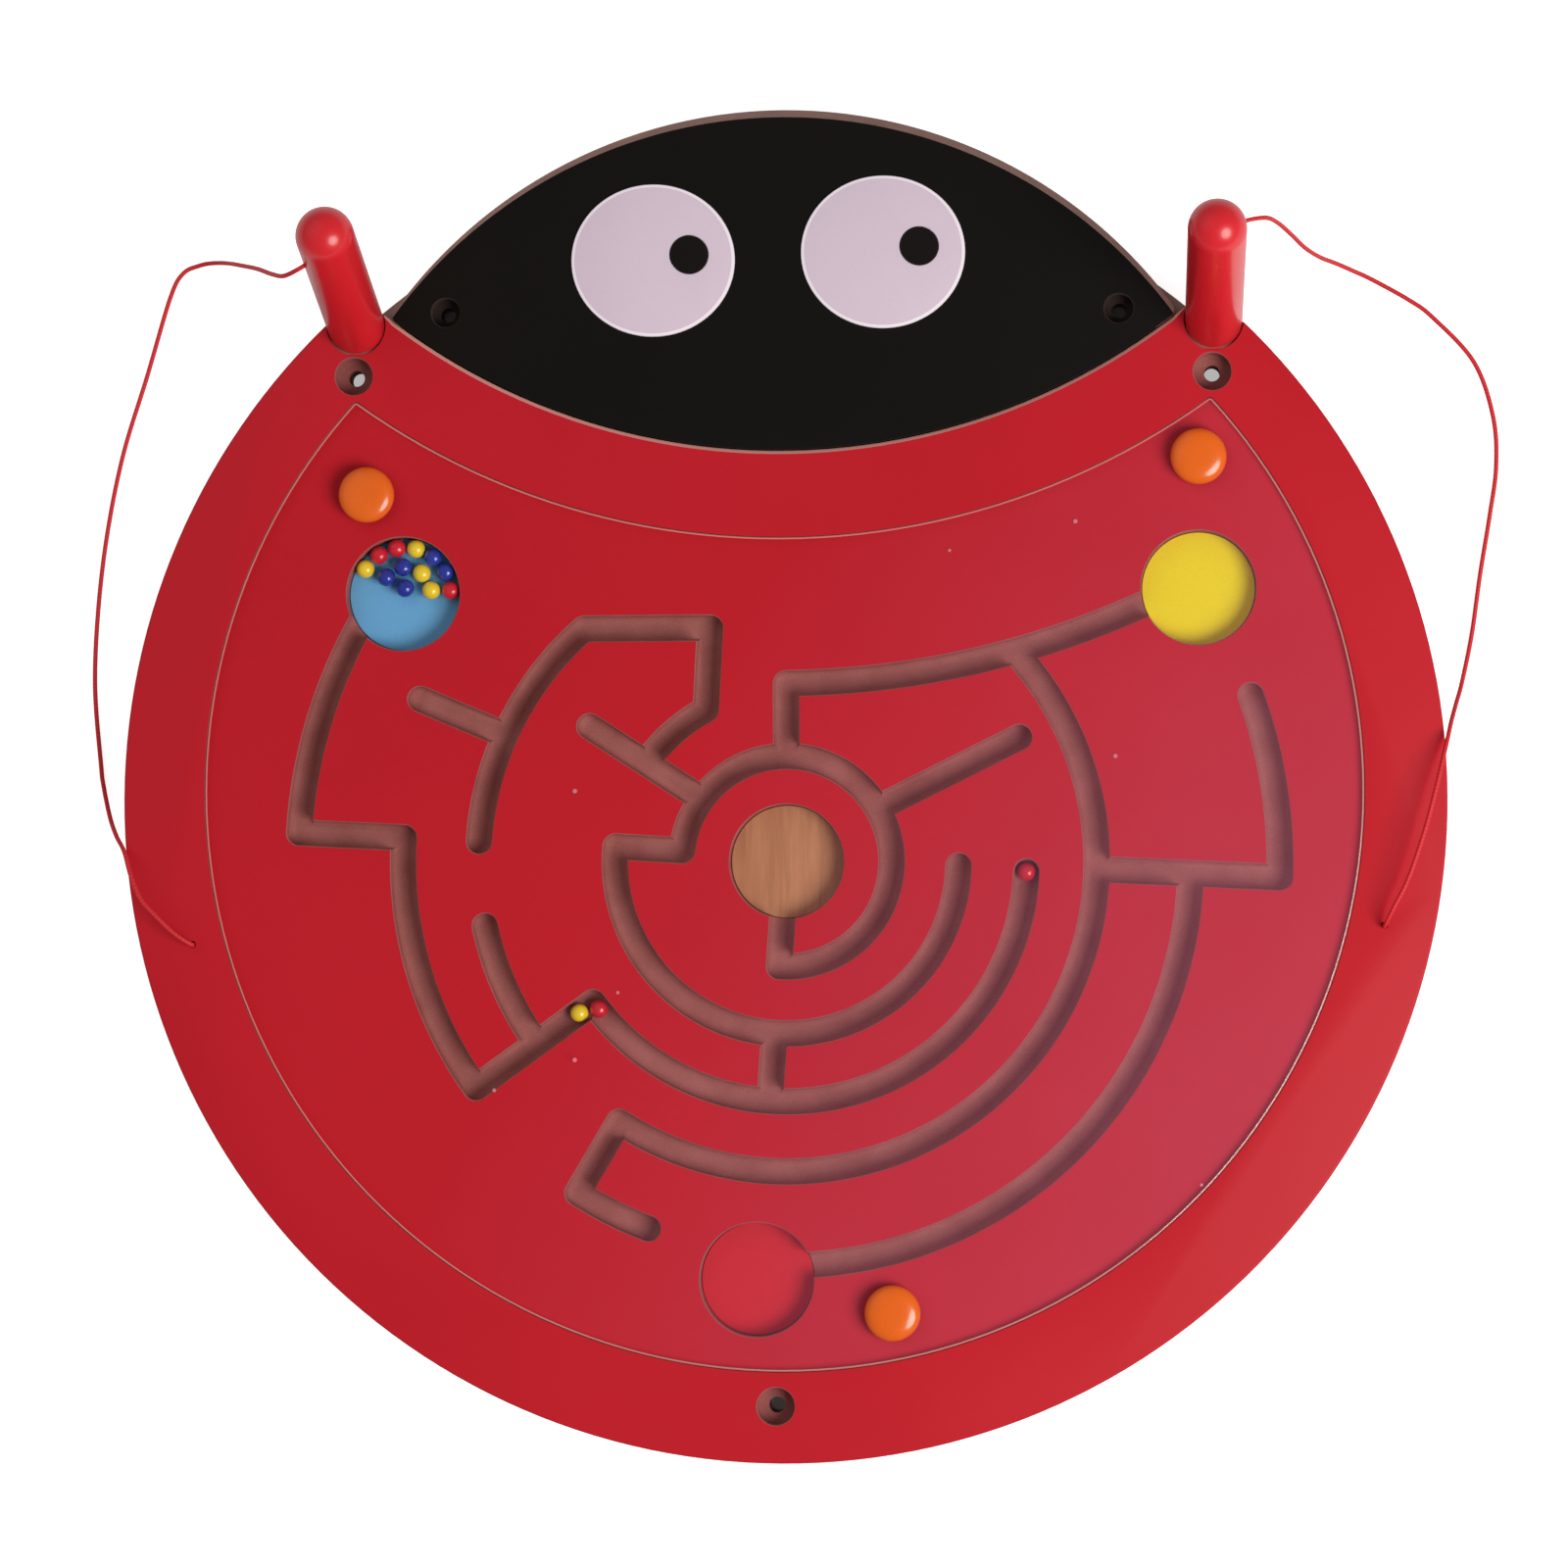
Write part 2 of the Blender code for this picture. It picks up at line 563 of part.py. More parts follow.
def groove_paths():
    """Each groove's name and centre line."""
    paths = {}
    for name, runs in GROOVE_RUN_SHARES.items():
        paths[name] = run_points(runs)
    yellow = cover_place(WELL_SHARES["yellow"])
    top_radius = (yellow - NECK_CENTRE).length - TOP_RUN_RISE
    foot = maze_spot(INNER_SHARE, 90)
    short = math.degrees(TOP_RUN_END_SHARE * WELL_RADIUS / top_radius)
    paths["top"] = [foot] + arc(NECK_CENTRE, top_radius, angle_of(foot - NECK_CENTRE),
                                angle_of(yellow - NECK_CENTRE) - short)
    branch = meeting(NECK_CENTRE, top_radius, MAZE_CENTRE, FOURTH_SHARE * COVER_RADIUS)
    if branch.x < 0:
        branch = meeting(MAZE_CENTRE, FOURTH_SHARE * COVER_RADIUS, NECK_CENTRE, top_radius)
    first, *rest = LONG_RUN_SHARES
    start = angle_of(branch - MAZE_CENTRE)
    paths["long"] = run_points([(first[0], start, first[2])] + rest)
    return paths


def run_points(runs):
    points = []
    for share, start, end in runs:
        if start == end:
            points.append(maze_spot(share, start))
        else:
            points += arc(MAZE_CENTRE, share * COVER_RADIUS, start, end)
    return points


def make_body_board():
    form = bmesh.new()
    outline = loop_of(crescent(BODY_CENTRE, BODY_RADIUS, NECK_RADIUS, HORN_CORNER))
    add_prism(form, outline, BOARD_Z, FACE_Z)
    board = piece("body_board", form, "red_paint", smooth=False)
    ease(board, BODY_EASING)
    rebate = bmesh.new()
    arcs = crescent(Vector((0, COVER_CENTRE_Y)), COVER_RADIUS + SEAT_GAP, BROW_RADIUS - SEAT_GAP, COVER_CORNER)
    add_prism(rebate, loop_of(arcs), REBATE_Z, FACE_Z + OVERRUN)
    cut(board, cutter("cover_rebate", rebate))
    tool = bmesh.new()
    for place in FIXING_PLACES:
        add_turned(tool, fixing_profile(FIXING_RADIUS, FIXING_HEAD_RADIUS), upright(place))
    for shares in WELL_SHARES.values():
        add_turned(tool, [(WELL_RADIUS, WELL_Z), (WELL_RADIUS, REBATE_Z + OVERRUN)],
                   upright(cover_place(shares)))
    for shares in CAP_SHARES.values():
        pilot = SCREW_RADIUS + SCREW_PLAY
        add_turned(tool, [(pilot, screw_tip() - SCREW_PLAY), (pilot, REBATE_Z + OVERRUN)],
                   upright(cover_place(shares)))
    for place in BODY_SCREW_PLACES:
        add_turned(tool, pilot_profile(), upright(place))
    for place in CORD_PLACES.values():
        pocket = BOARD_Z + KNOT_POCKET_DEPTH
        add_turned(tool, [(KNOT_POCKET_RADIUS, BOARD_Z - OVERRUN), (KNOT_POCKET_RADIUS, pocket),
                          (CORD_HOLE_RADIUS, pocket), (CORD_HOLE_RADIUS, FACE_Z + OVERRUN)], upright(place))
    cut(board, cutter("body_bores", tool))
    tool = bmesh.new()
    hole = NOSE_RADIUS + NOSE_PLAY
    for side in WAND_STEPS:
        add_turned(tool, [(hole, -NOSE_LENGTH - SEAT_GAP), (hole, 0), (SEAT_RADIUS, 0),
                          (SEAT_RADIUS, WAND_RADIUS)], wand_frame(side))
    cut(board, cutter("wand_sockets", tool))
    for name, path in groove_paths().items():
        cut(board, add_groove(name, path, name in ROUND_STARTS, name in ROUND_ENDS))


def pilot_profile():
    profile = back_screw_profile(SCREW_PLAY)
    return [(profile[1][0], BOARD_Z - OVERRUN)] + profile[2:]


def make_head_board():
    form = bmesh.new()
    neck_radius = NECK_RADIUS - NECK_GAP
    arcs = lens(HEAD_CENTRE, HEAD_RADIUS, neck_radius, HEAD_CORNER)
    face_arcs = lens(HEAD_CENTRE - Vector((0, HEAD_LEAN)), HEAD_RADIUS, neck_radius, HEAD_CORNER)
    outline = loop_of(arcs)
    add_loft(form, [(outline, BOARD_Z), (outline, FACE_Z - HEAD_LEAN_DEPTH), (loop_of(face_arcs, arcs), FACE_Z)])
    board = piece("head_board", form, "black_paint", smooth=False)
    tool = bmesh.new()
    for place in HEAD_FIXING_PLACES:
        add_turned(tool, fixing_profile(HEAD_FIXING_RADIUS, HEAD_FIXING_HEAD_RADIUS), upright(place))
    for place in HEAD_SCREW_PLACES:
        add_turned(tool, pilot_profile(), upright(place))
    for shares in EYE_SHARES.values():
        outline = ellipse(eye_place(shares), EYE_HALF_WIDTH + SEAT_GAP, EYE_HALF_HEIGHT + SEAT_GAP)
        add_prism(tool, outline, FACE_Z - EYE_POCKET, FACE_Z + OVERRUN)
    cut(board, cutter("head_bores", tool))


def eye_place(shares):
    return on_head(shares[0] * HEAD_RADIUS, shares[1])


def make_eyes():
    bottom = FACE_Z - EYE_POCKET + SEAT_GAP
    top = bottom + EYE_THICKNESS
    for name, shares in EYE_SHARES.items():
        centre = eye_place(shares)
        form = bmesh.new()
        add_prism(form, ellipse(centre, EYE_HALF_WIDTH, EYE_HALF_HEIGHT), bottom, top)
        eye = piece(name, form, "eye_white", smooth=False)
        ease(eye, EYE_EASING)
        spot = centre + Vector((EYE_HALF_WIDTH * PUPIL_SHARES[0], EYE_HALF_HEIGHT * PUPIL_SHARES[1]))
        tool = bmesh.new()
        pocket = PUPIL_RADIUS + SEAT_GAP
        add_turned(tool, [(pocket, top - PUPIL_POCKET), (pocket, top + OVERRUN)], upright(spot))
        cut(eye, cutter(name + "_pocket", tool))
        form = bmesh.new()
        low = top - PUPIL_POCKET + SEAT_GAP
        add_turned(form, [(PUPIL_RADIUS, low), (PUPIL_RADIUS, low + PUPIL_THICKNESS)], upright(spot))
        piece(name.replace("eye", "pupil"), form, "black_paint")


def make_cover():
    form = bmesh.new()
    arcs = crescent(Vector((0, COVER_CENTRE_Y)), COVER_RADIUS, BROW_RADIUS, COVER_CORNER)
    add_prism(form, loop_of(arcs), COVER_Z, COVER_TOP)
    cover = piece("cover_sheet", form, "clear_acrylic", smooth=False)
    ease(cover, COVER_EASING)
    tool = bmesh.new()
    hole = SCREW_RADIUS + SCREW_PLAY
    for shares in CAP_SHARES.values():
        add_turned(tool, [(hole, COVER_Z - OVERRUN), (hole, COVER_TOP + OVERRUN)], upright(cover_place(shares)))
    cut(cover, cutter("cover_holes", tool))


def make_well_discs():
    finishes = {"blue": "blue_paint", "yellow": "yellow_paint", "wood": "natural_wood", "red": "red_paint"}
    radius = WELL_RADIUS - SEAT_GAP
    for name, shares in WELL_SHARES.items():
        form = bmesh.new()
        bottom = WELL_Z + SEAT_GAP
        add_turned(form, [(radius, bottom), (radius, bottom + DISC_THICKNESS)], upright(cover_place(shares)))
        piece(name + "_well_disc", form, finishes[name])


def screw_head_z():
    """Underside of a cover screw's head, on its washer."""
    return COVER_TOP + SEAT_GAP + WASHER_THICKNESS + SEAT_GAP


def screw_tip():
    return screw_head_z() - SCREW_LENGTH


def dome(radius, height, base, steps):
    """Profile of a low dome from its rim to its top."""
    turns = [math.pi / 2 * i / steps for i in range(steps + 1)]
    rim = [(radius * math.cos(turn), base + height * math.sin(turn)) for turn in turns[:-1]]
    return rim + [(0, base + height)]


def make_caps():
    for side, shares in CAP_SHARES.items():
        place = upright(cover_place(shares))
        seat = COVER_TOP + SEAT_GAP
        steps = circle_chords(CAP_RADIUS)
        hollow = dome(CAP_RADIUS - CAP_WALL, CAP_HEIGHT - CAP_WALL - CAP_SKIRT, seat + CAP_SKIRT, 3)
        shell = [(CAP_RADIUS, seat)] + dome(CAP_RADIUS, CAP_HEIGHT - CAP_SKIRT, seat + CAP_SKIRT, 4)
        form = bmesh.new()
        add_turned(form, hollow[::-1] + [(CAP_RADIUS - CAP_WALL, seat)] + shell, place, steps)
        piece(side + "_cap", form, "orange_plastic")
        form = bmesh.new()
        hole = SCREW_RADIUS + SCREW_PLAY
        top = seat + WASHER_THICKNESS
        add_turned(form, [(hole, seat), (WASHER_RADIUS, seat), (WASHER_RADIUS, top), (hole, top)], place,
                   ring=True)
        piece(side + "_cap_washer", form, "orange_plastic")
        make_cover_screw(side, place)


def make_cover_screw(side, place):
    head = screw_head_z()
    form = bmesh.new()
    profile = [(0, screw_tip()), (SCREW_RADIUS, screw_tip() + 2 * SCREW_RADIUS), (SCREW_RADIUS, head)]
    add_turned(form, profile + [(SCREW_HEAD_RADIUS, head)] + dome(SCREW_HEAD_RADIUS, SCREW_HEAD_HEIGHT, head, 3)[1:],
               place, FEWEST_CHORDS)
    piece(side + "_cover_screw", form, "steel")


def wand_profile():
    """From the rim of the magnet's pocket, round the nose and foot, to the top of the dome."""
    pocket = MAGNET_RADIUS + SEAT_GAP
    deep = MAGNET_LENGTH + SEAT_GAP
    nose = [(0, deep - NOSE_LENGTH), (pocket, deep - NOSE_LENGTH), (pocket, -NOSE_LENGTH),
            (NOSE_RADIUS - NOSE_CHAMFER, -NOSE_LENGTH), (NOSE_RADIUS, NOSE_CHAMFER - NOSE_LENGTH)]
    foot = [(NOSE_RADIUS, SEAT_GAP), (WAND_RADIUS - FOOT_ROUND, SEAT_GAP), (WAND_RADIUS, SEAT_GAP + FOOT_ROUND)]
    return nose + foot + dome(WAND_RADIUS, WAND_RADIUS, WAND_LENGTH - WAND_RADIUS, 6)


def make_wands():
    for side in WAND_STEPS:
        form = bmesh.new()
        add_turned(form, wand_profile())
        wand = piece(side + "_wand", form, "red_lacquer")
        wand.matrix_world = wand_frame(side)
        tool = bmesh.new()
        turn = Matrix.Rotation(math.radians(CORD_HOLE_TURNS[side]), 4, "Z") @ Matrix.Rotation(math.pi / 2, 4, "Y")
        rise = Matrix.Translation((0, 0, cord_hole_height()))
        add_turned(tool, [(CORD_HOLE_RADIUS, WAND_RADIUS - CORD_HOLE_DEPTH), (CORD_HOLE_RADIUS, WAND_RADIUS + OVERRUN)],
                   wand_frame(side) @ rise @ turn)
        cut(wand, cutter(side + "_wand_cord_hole", tool))
        form = bmesh.new()
        low = SEAT_GAP - NOSE_LENGTH
        add_turned(form, [(MAGNET_RADIUS, low - SEAT_GAP), (MAGNET_RADIUS, low - SEAT_GAP + MAGNET_LENGTH)])
        piece(side + "_wand_magnet", form, "magnet", wand)


def cord_hole_height():
    return WAND_LENGTH - WAND_RADIUS - CORD_HOLE_DROP


def add_ball(form, radius, centre):
    bmesh.ops.create_uvsphere(form, u_segments=BEAD_SEGMENTS, v_segments=BEAD_RINGS, radius=radius,
                              matrix=Matrix.Translation(centre))


def make_bead(name, place, parent=None):
    """A bead, turning with the empty on its joint's axis when it has one."""
    form = bmesh.new()
    add_ball(form, BEAD_RADIUS, (0, 0, 0))
    bead = piece(name, form, name.split("_")[0] + "_bead", parent)
    bead.location = Vector((place.x, place.y, BEAD_Z)) - (parent.location if parent else Vector((0, 0, 0)))


def make_beads():
    blue = cover_place(WELL_SHARES["blue"])
    well_axis = axis_point("blue_well_axis", (blue.x, blue.y, BEAD_Z))
    lane = WELL_RADIUS - BEAD_RADIUS - SEAT_GAP
    pitch = 2 * math.degrees(math.asin(BEAD_PITCH / 2 / lane))
    for i, name in enumerate(WALL_BEADS):
        make_bead(name, blue + polar(lane, WALL_BEAD_FIRST + pitch * i), well_axis)
    for name, shares in INNER_BEAD_SHARES.items():
        make_bead(name, blue + Vector(shares) * BEAD_PITCH)
    maze_axis = axis_point("maze_axis", (MAZE_CENTRE.x, MAZE_CENTRE.y, BEAD_Z))
    for name, (share, degrees) in GROOVE_BEAD_SHARES.items():
        make_bead(name, maze_spot(share, degrees), maze_axis)


def make_back_screws():
    names = [f"body_back_screw_{i + 1}" for i in range(len(BODY_SCREW_PLACES))]
    names += ["left_head_back_screw", "right_head_back_screw"]
    for name, place in zip(names, BODY_SCREW_PLACES + HEAD_SCREW_PLACES):
        form = bmesh.new()
        add_turned(form, back_screw_profile(0), upright(place), FEWEST_CHORDS)
        piece(name, form, "steel")


def smooth_route(route):
    """Points a steady step apart on a smooth curve through the route's own points."""
    spots = [Vector(p) for p in route]
    spots = [2 * spots[0] - spots[1]] + spots + [2 * spots[-1] - spots[-2]]
    fine = []
    parts = 24
    for a, b, c, d in zip(spots, spots[1:], spots[2:], spots[3:]):
        for i in range(parts):
            t = i / parts
            fine.append(0.5 * (2 * b + (c - a) * t + (2 * a - 5 * b + 4 * c - d) * t ** 2
                               + (3 * b - a - 3 * c + d) * t ** 3))
    fine.append(spots[-2])
    length = sum((b - a).length for a, b in zip(fine, fine[1:]))
    count = round(length / CORD_STEP)
    kept, walked, due = [fine[0]], 0.0, length / count
    for a, b in zip(fine, fine[1:]):
        walked += (b - a).length
        if walked >= due and len(kept) < count:
            kept.append(b)
            due += length / count
    return kept + [fine[-1]]


def cord_route(side):
    """From just outside the wand's hole, over the floor and the face, to just above the knot."""
    frame = wand_frame(side)
    turn = polar(1, CORD_HOLE_TURNS[side])
    mouth = WAND_RADIUS + SEAT_GAP
    leaving = [frame @ Vector((turn.x * reach, turn.y * reach, cord_hole_height()))
               for reach in (mouth, mouth + CORD_LEAD)]
    floor = CORD_RADIUS + SEAT_GAP
    over = FACE_Z + CORD_RADIUS + SEAT_GAP
    route = list(leaving)
    for x_share, y_share, level in CORD_ROUTE_SHARES[side]:
        if level < 1:
            height = floor + (over - floor) * level
        else:
            height = over + (leaving[0].z - over) * (level - 1)
        route.append(Vector((x_share * BODY_RADIUS, y_share * BODY_RADIUS, height)))
    place = CORD_PLACES[side]
    knot = BOARD_Z + KNOT_POCKET_DEPTH
    for height in (over + CORD_LEAD, FACE_Z, knot + CORD_LEAD, knot):
        route.append(Vector((place.x, place.y, height)))
    return route


def make_cords():
    for side in CORD_PLACES:
        curve = bpy.data.curves.new(side + "_cord", "CURVE")
        curve.dimensions = "3D"
        curve.bevel_depth = CORD_RADIUS
        curve.bevel_resolution = 2
        curve.use_fill_caps = True
        points = smooth_route(cord_route(side))
        spline = curve.splines.new("POLY")
        spline.points.add(len(points) - 1)
        for spot, point in zip(points, spline.points):
            point.co = (*spot, 1)
        curve.materials.append(material("cord"))
        cord = bpy.data.objects.new(side + "_cord", curve)
        bpy.context.scene.collection.objects.link(cord)
        place = CORD_PLACES[side]
        form = bmesh.new()
        add_ball(form, KNOT_RADIUS, (place.x, place.y, BOARD_Z + KNOT_POCKET_DEPTH - SEAT_GAP - KNOT_RADIUS))
        piece(side + "_cord_knot", form, "cord")


def main():
    for old in list(bpy.data.objects):
        bpy.data.objects.remove(old)
    make_back_panel()
    make_body_board()
    make_head_board()
    make_eyes()
    make_cover()
    make_well_discs()
    make_caps()
    make_wands()
    make_beads()
    make_back_screws()
    make_cords()


main()
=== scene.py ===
import math

import bpy
from mathutils import Matrix, Vector


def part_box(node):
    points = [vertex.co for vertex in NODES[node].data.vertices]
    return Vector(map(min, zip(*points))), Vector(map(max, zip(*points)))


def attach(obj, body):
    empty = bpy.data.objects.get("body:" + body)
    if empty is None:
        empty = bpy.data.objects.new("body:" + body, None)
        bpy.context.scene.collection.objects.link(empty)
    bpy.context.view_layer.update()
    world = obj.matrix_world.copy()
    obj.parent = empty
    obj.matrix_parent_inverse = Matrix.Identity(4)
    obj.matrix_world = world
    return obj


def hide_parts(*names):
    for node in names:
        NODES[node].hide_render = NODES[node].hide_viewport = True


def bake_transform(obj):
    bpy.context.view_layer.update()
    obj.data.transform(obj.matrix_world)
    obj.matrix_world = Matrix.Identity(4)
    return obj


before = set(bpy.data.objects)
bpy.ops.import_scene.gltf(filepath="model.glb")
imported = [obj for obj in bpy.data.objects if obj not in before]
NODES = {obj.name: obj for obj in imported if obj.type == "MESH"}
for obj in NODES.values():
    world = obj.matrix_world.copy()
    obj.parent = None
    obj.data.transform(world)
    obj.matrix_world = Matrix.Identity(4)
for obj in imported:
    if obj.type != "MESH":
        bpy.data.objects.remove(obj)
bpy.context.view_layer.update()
bpy.context.scene.view_settings.view_transform = "Standard"

# Levels above the wall, in metres
BOARD_Z = 0.0063
GROOVE_Z = 0.012
WELL_Z = 0.0097
REBATE_Z = 0.021
COVER_Z = 0.0213
FACE_Z = 0.0243

# Plan of the panel: the round body, the neck's arc, the head and the cover
BODY = Vector((0, 0))
NECK = Vector((0, 0.4356))
HEAD = Vector((0, 0.0916))
COVER = Vector((0, 0.004))
BODY_RADIUS = 0.290
NECK_RADIUS = 0.283
HEAD_RADIUS = 0.2122
COVER_RADIUS = 0.254
BROW_RADIUS = 0.321
MAZE = Vector((0.0087, -0.1075)) * COVER_RADIUS
WELLS = {
    "blue": (-0.16688, 0.0906), "yellow": (0.18237, 0.0921), "wood": tuple(MAZE), "red": (-0.0108, -0.21011),
}
CAPS = {"left": (-0.18255, 0.13393), "right": (0.18235, 0.149), "lower": (0.04869, -0.22413)}
EYES = {"left": (-0.0563, 0.23647), "right": (0.04471, 0.23956)}
FIXINGS = ((0.188454, 0.186306), (-0.188454, 0.186306), (-0.002313, -0.26499))
HEAD_FIXINGS = ((0.147796, 0.214103), (-0.147796, 0.214103))
CORD_HOLES = {"left": (-0.25935, -0.06363), "right": (0.26251, -0.0553)}
BACK_SCREWS = {
    "body_back_screw_1": (0.25184, 0.09166), "body_back_screw_2": (-0.25184, 0.09166),
    "body_back_screw_3": (-0.21953, -0.15372), "body_back_screw_4": (-0.11326, -0.24289),
    "body_back_screw_5": (0.11326, -0.24289), "body_back_screw_6": (0.21953, -0.15372),
    "left_head_back_screw": (-0.1027, 0.21405), "right_head_back_screw": (0.1027, 0.21405),
}

# Sizes of the pieces, and the play and eased lips between them
SEAT_GAP = 0.0003         # play between a piece and the seat that holds it
LIP = 0.0004              # width of the eased lip along grooves and wells
BORE_LIP = 0.0003         # width of the eased lip round a counterbore
CLEAR = 0.004             # how far a cutter stands above the face that it opens
BODY_CORNER = 0.004       # radii of the boards' and the cover's corners, seen from the front
HEAD_CORNER = 0.005
COVER_CORNER = 0.0015
RIM_EASE = 0.001          # widths of the eased edges
NECK_EASE = 0.0015
COVER_EASE = 0.0009
HEAD_GAP = 0.0006         # between the head and the body
HEAD_RIM_HEIGHT = 0.010   # height of the head's leaning rim, and how far it leans
HEAD_RIM_LEAN = 0.0046
BACK_THICKNESS = 0.006
BACK_INSET = 0.010        # how far the back panel's edge lies inside the boards' edge
BORE_DEPTH = 0.010        # depth of the counterbores
BODY_FIXING = (0.0035, 0.00825)    # radii of a wall screw's hole and counterbore
HEAD_FIXING = (0.0032, 0.0064)
PILOT_RADIUS = 0.0022     # holes for the back screws and the cover screws
BACK_PILOT_Z = 0.0135     # where the holes for the back screws end
COVER_PILOT_Z = 0.0119    # where the holes for the cover screws end
SCREW_SUNK = 0.0003       # from the back's face to a back screw's head
SCREW_NECK = 0.0022       # from the back's face to where its head meets its shank
KNOT_POCKET = (0.0045, 0.007)      # radius and depth
WELL_RADIUS = 0.025
EYE_WIDE, EYE_HIGH = 0.036, 0.0335
EYE_POCKET = 0.0012       # depth
PUPIL_RADIUS = 0.0084
PUPIL_OFFSET = (0.0159, 0.00235)
CAP_RADIUS = 0.01225
BEAD_RADIUS = 0.004

# Wands: where each stands, its lean, and the height and turn of its cord hole
WANDS = {"left": ((-0.18755, 0.20782, 0.02069), 212.0), "right": ((0.18912, 0.20814, 0.02069), 40.0)}
WAND_LEAN = 16.0
WAND_RADIUS = 0.0125
WAND_LENGTH = 0.1155
WAND_NOSE = 0.0095    # length of the nose below the wand's foot
WAND_SOCKET = ((0.0054, -0.0098), (0.0054, 0), (0.0131, 0), (0.0131, 0.0125))    # rings of the cutter
CORD_HOLE_HEIGHT = 0.087

# Grooves: runs of (share of the cover's radius, first angle, last angle) round the maze's middle
INNER, SECOND, THIRD, FOURTH, OUTER = 0.1815, 0.2967, 0.4137, 0.534, 0.8475
GROOVES = (
    ("round_end", ((0.07, -94, -94), (INNER, -94, 174), (SECOND, 175, 358.5))),
    ("", ((SECOND, -94, -94), (THIRD, -94, -94))),
    ("round_start", ((THIRD, -2.5, -144), (0.6646, -144, -183.6), (OUTER, -183.4, -211.5))),
    ("round_start", ((FOURTH, -168, -144),)),
    ("round_end", ((INNER, 143.6, 143.6), (THIRD, 145.6, 145.6))),
    ("round_start", ((FOURTH, 176.2, 131.1), (0.4244, 108.1, 108.1), (SECOND, 118, 144.7))),
    ("round_end", ((FOURTH, 155.8, 155.8), (0.695, 156.1, 156.1))),
    ("round_end", ((INNER, 30.2, 30.2), (0.4543, 28.0, 28.0))),
    ("round_end", ((FOURTH, -1.5, -1.5), (OUTER, -1.9, 19.6))),
    ("", ((0.695, -1.7, -88.5),)),
    ("round_end", ((FOURTH, 42.58, -122.8), (0.676, -122.3, -110.7))),
)
TOP_RUN_RADIUS = 0.3849    # the run to the yellow well turns round the neck's middle
TOP_RUN_END = -64.64
GROOVE_HALF = 0.0055
GROOVE_FILLET = 0.004
FILLET_STEPS = 5
BIT_SHRINK = 0.00002    # keeps the faces of a turn off the faces of the runs that it joins
CHORD_ERROR = 0.00003

# Cords: the points that each passes through, from the wand down to its knot
CORD_ROUTES = {
    "left": (
        (-0.1984, 0.2253, 0.1062), (-0.2009, 0.2237, 0.1066), (-0.2084, 0.2220, 0.0980), (-0.2156, 0.2245, 0.0840),
        (-0.2254, 0.2295, 0.0620), (-0.2359, 0.2338, 0.0390), (-0.2459, 0.2376, 0.0170), (-0.2549, 0.2392, 0.0045),
        (-0.2611, 0.2385, 0.0013), (-0.2684, 0.2350, 0.0013), (-0.2741, 0.2241, 0.0013), (-0.2843, 0.1894, 0.0013),
        (-0.2949, 0.1547, 0.0013), (-0.3019, 0.1200, 0.0013), (-0.3060, 0.0852, 0.0013), (-0.3073, 0.0505, 0.0013),
        (-0.3045, 0.0158, 0.0013), (-0.3031, 0.0070, 0.0030), (-0.2989, -0.0070, 0.0100),
        (-0.2941, -0.0158, 0.0200), (-0.2892, -0.0229, 0.0275), (-0.2855, -0.0336, 0.0315),
        (-0.2810, -0.0435, 0.0330), (-0.2745, -0.0508, 0.0330), (-0.2662, -0.0589, 0.0315),
        (-0.2593, -0.0636, 0.0286), (-0.2593, -0.0636, 0.0243), (-0.2593, -0.0636, 0.0163),
        (-0.2593, -0.0636, 0.0133),
    ),
    "right": (
        (0.1989, 0.2400, 0.1021), (0.2012, 0.2419, 0.1015), (0.2098, 0.2440, 0.0949), (0.2151, 0.2437, 0.0819),
        (0.2215, 0.2409, 0.0640), (0.2281, 0.2374, 0.0450), (0.2351, 0.2355, 0.0270), (0.2430, 0.2345, 0.0110),
        (0.2507, 0.2321, 0.0035), (0.2590, 0.2285, 0.0013), (0.2751, 0.2194, 0.0013), (0.2855, 0.2116, 0.0013),
        (0.3033, 0.1920, 0.0013), (0.3116, 0.1681, 0.0013), (0.3129, 0.1460, 0.0013), (0.3100, 0.1243, 0.0013),
        (0.3057, 0.0983, 0.0013), (0.3020, 0.0722, 0.0013), (0.2975, 0.0512, 0.0040), (0.2944, 0.0414, 0.0120),
        (0.2917, 0.0332, 0.0220), (0.2896, 0.0252, 0.0285), (0.2854, 0.0083, 0.0340), (0.2808, -0.0093, 0.0360),
        (0.2763, -0.0238, 0.0360), (0.2716, -0.0367, 0.0350), (0.2662, -0.0474, 0.0330),
        (0.2625, -0.0553, 0.0286), (0.2625, -0.0553, 0.0243), (0.2625, -0.0553, 0.0163), (0.2625, -0.0553, 0.0133),
    ),
}
CORD_DIAMETER = 0.002
CORD_HOLE_RADIUS = 0.0015
CORD_STEP = 0.0015


# Camera and light

CAMERA_PLACE = (0.1487, -0.060, 2.4243)
CAMERA_TARGET = (0.0013, 0.0065, FACE_Z)
LENS = 126.3
LAMPS = (    # name, place, size, power, colour
    ("key_softbox", (1.4, -0.75, 1.75), 1.5, 51, (1.0, 0.97, 0.95)),
    ("fill_softbox", (-1.5, 1.0, 1.7), 2.8, 17, (0.96, 0.98, 1.0)),
)
WORLD_LIGHT = 0.2
FLOOR_DROP = 0.0003    # keeps the floor off the back panel


def aim(obj, target):
    obj.rotation_euler = (Vector(target) - obj.location).to_track_quat("-Z", "Y").to_euler()


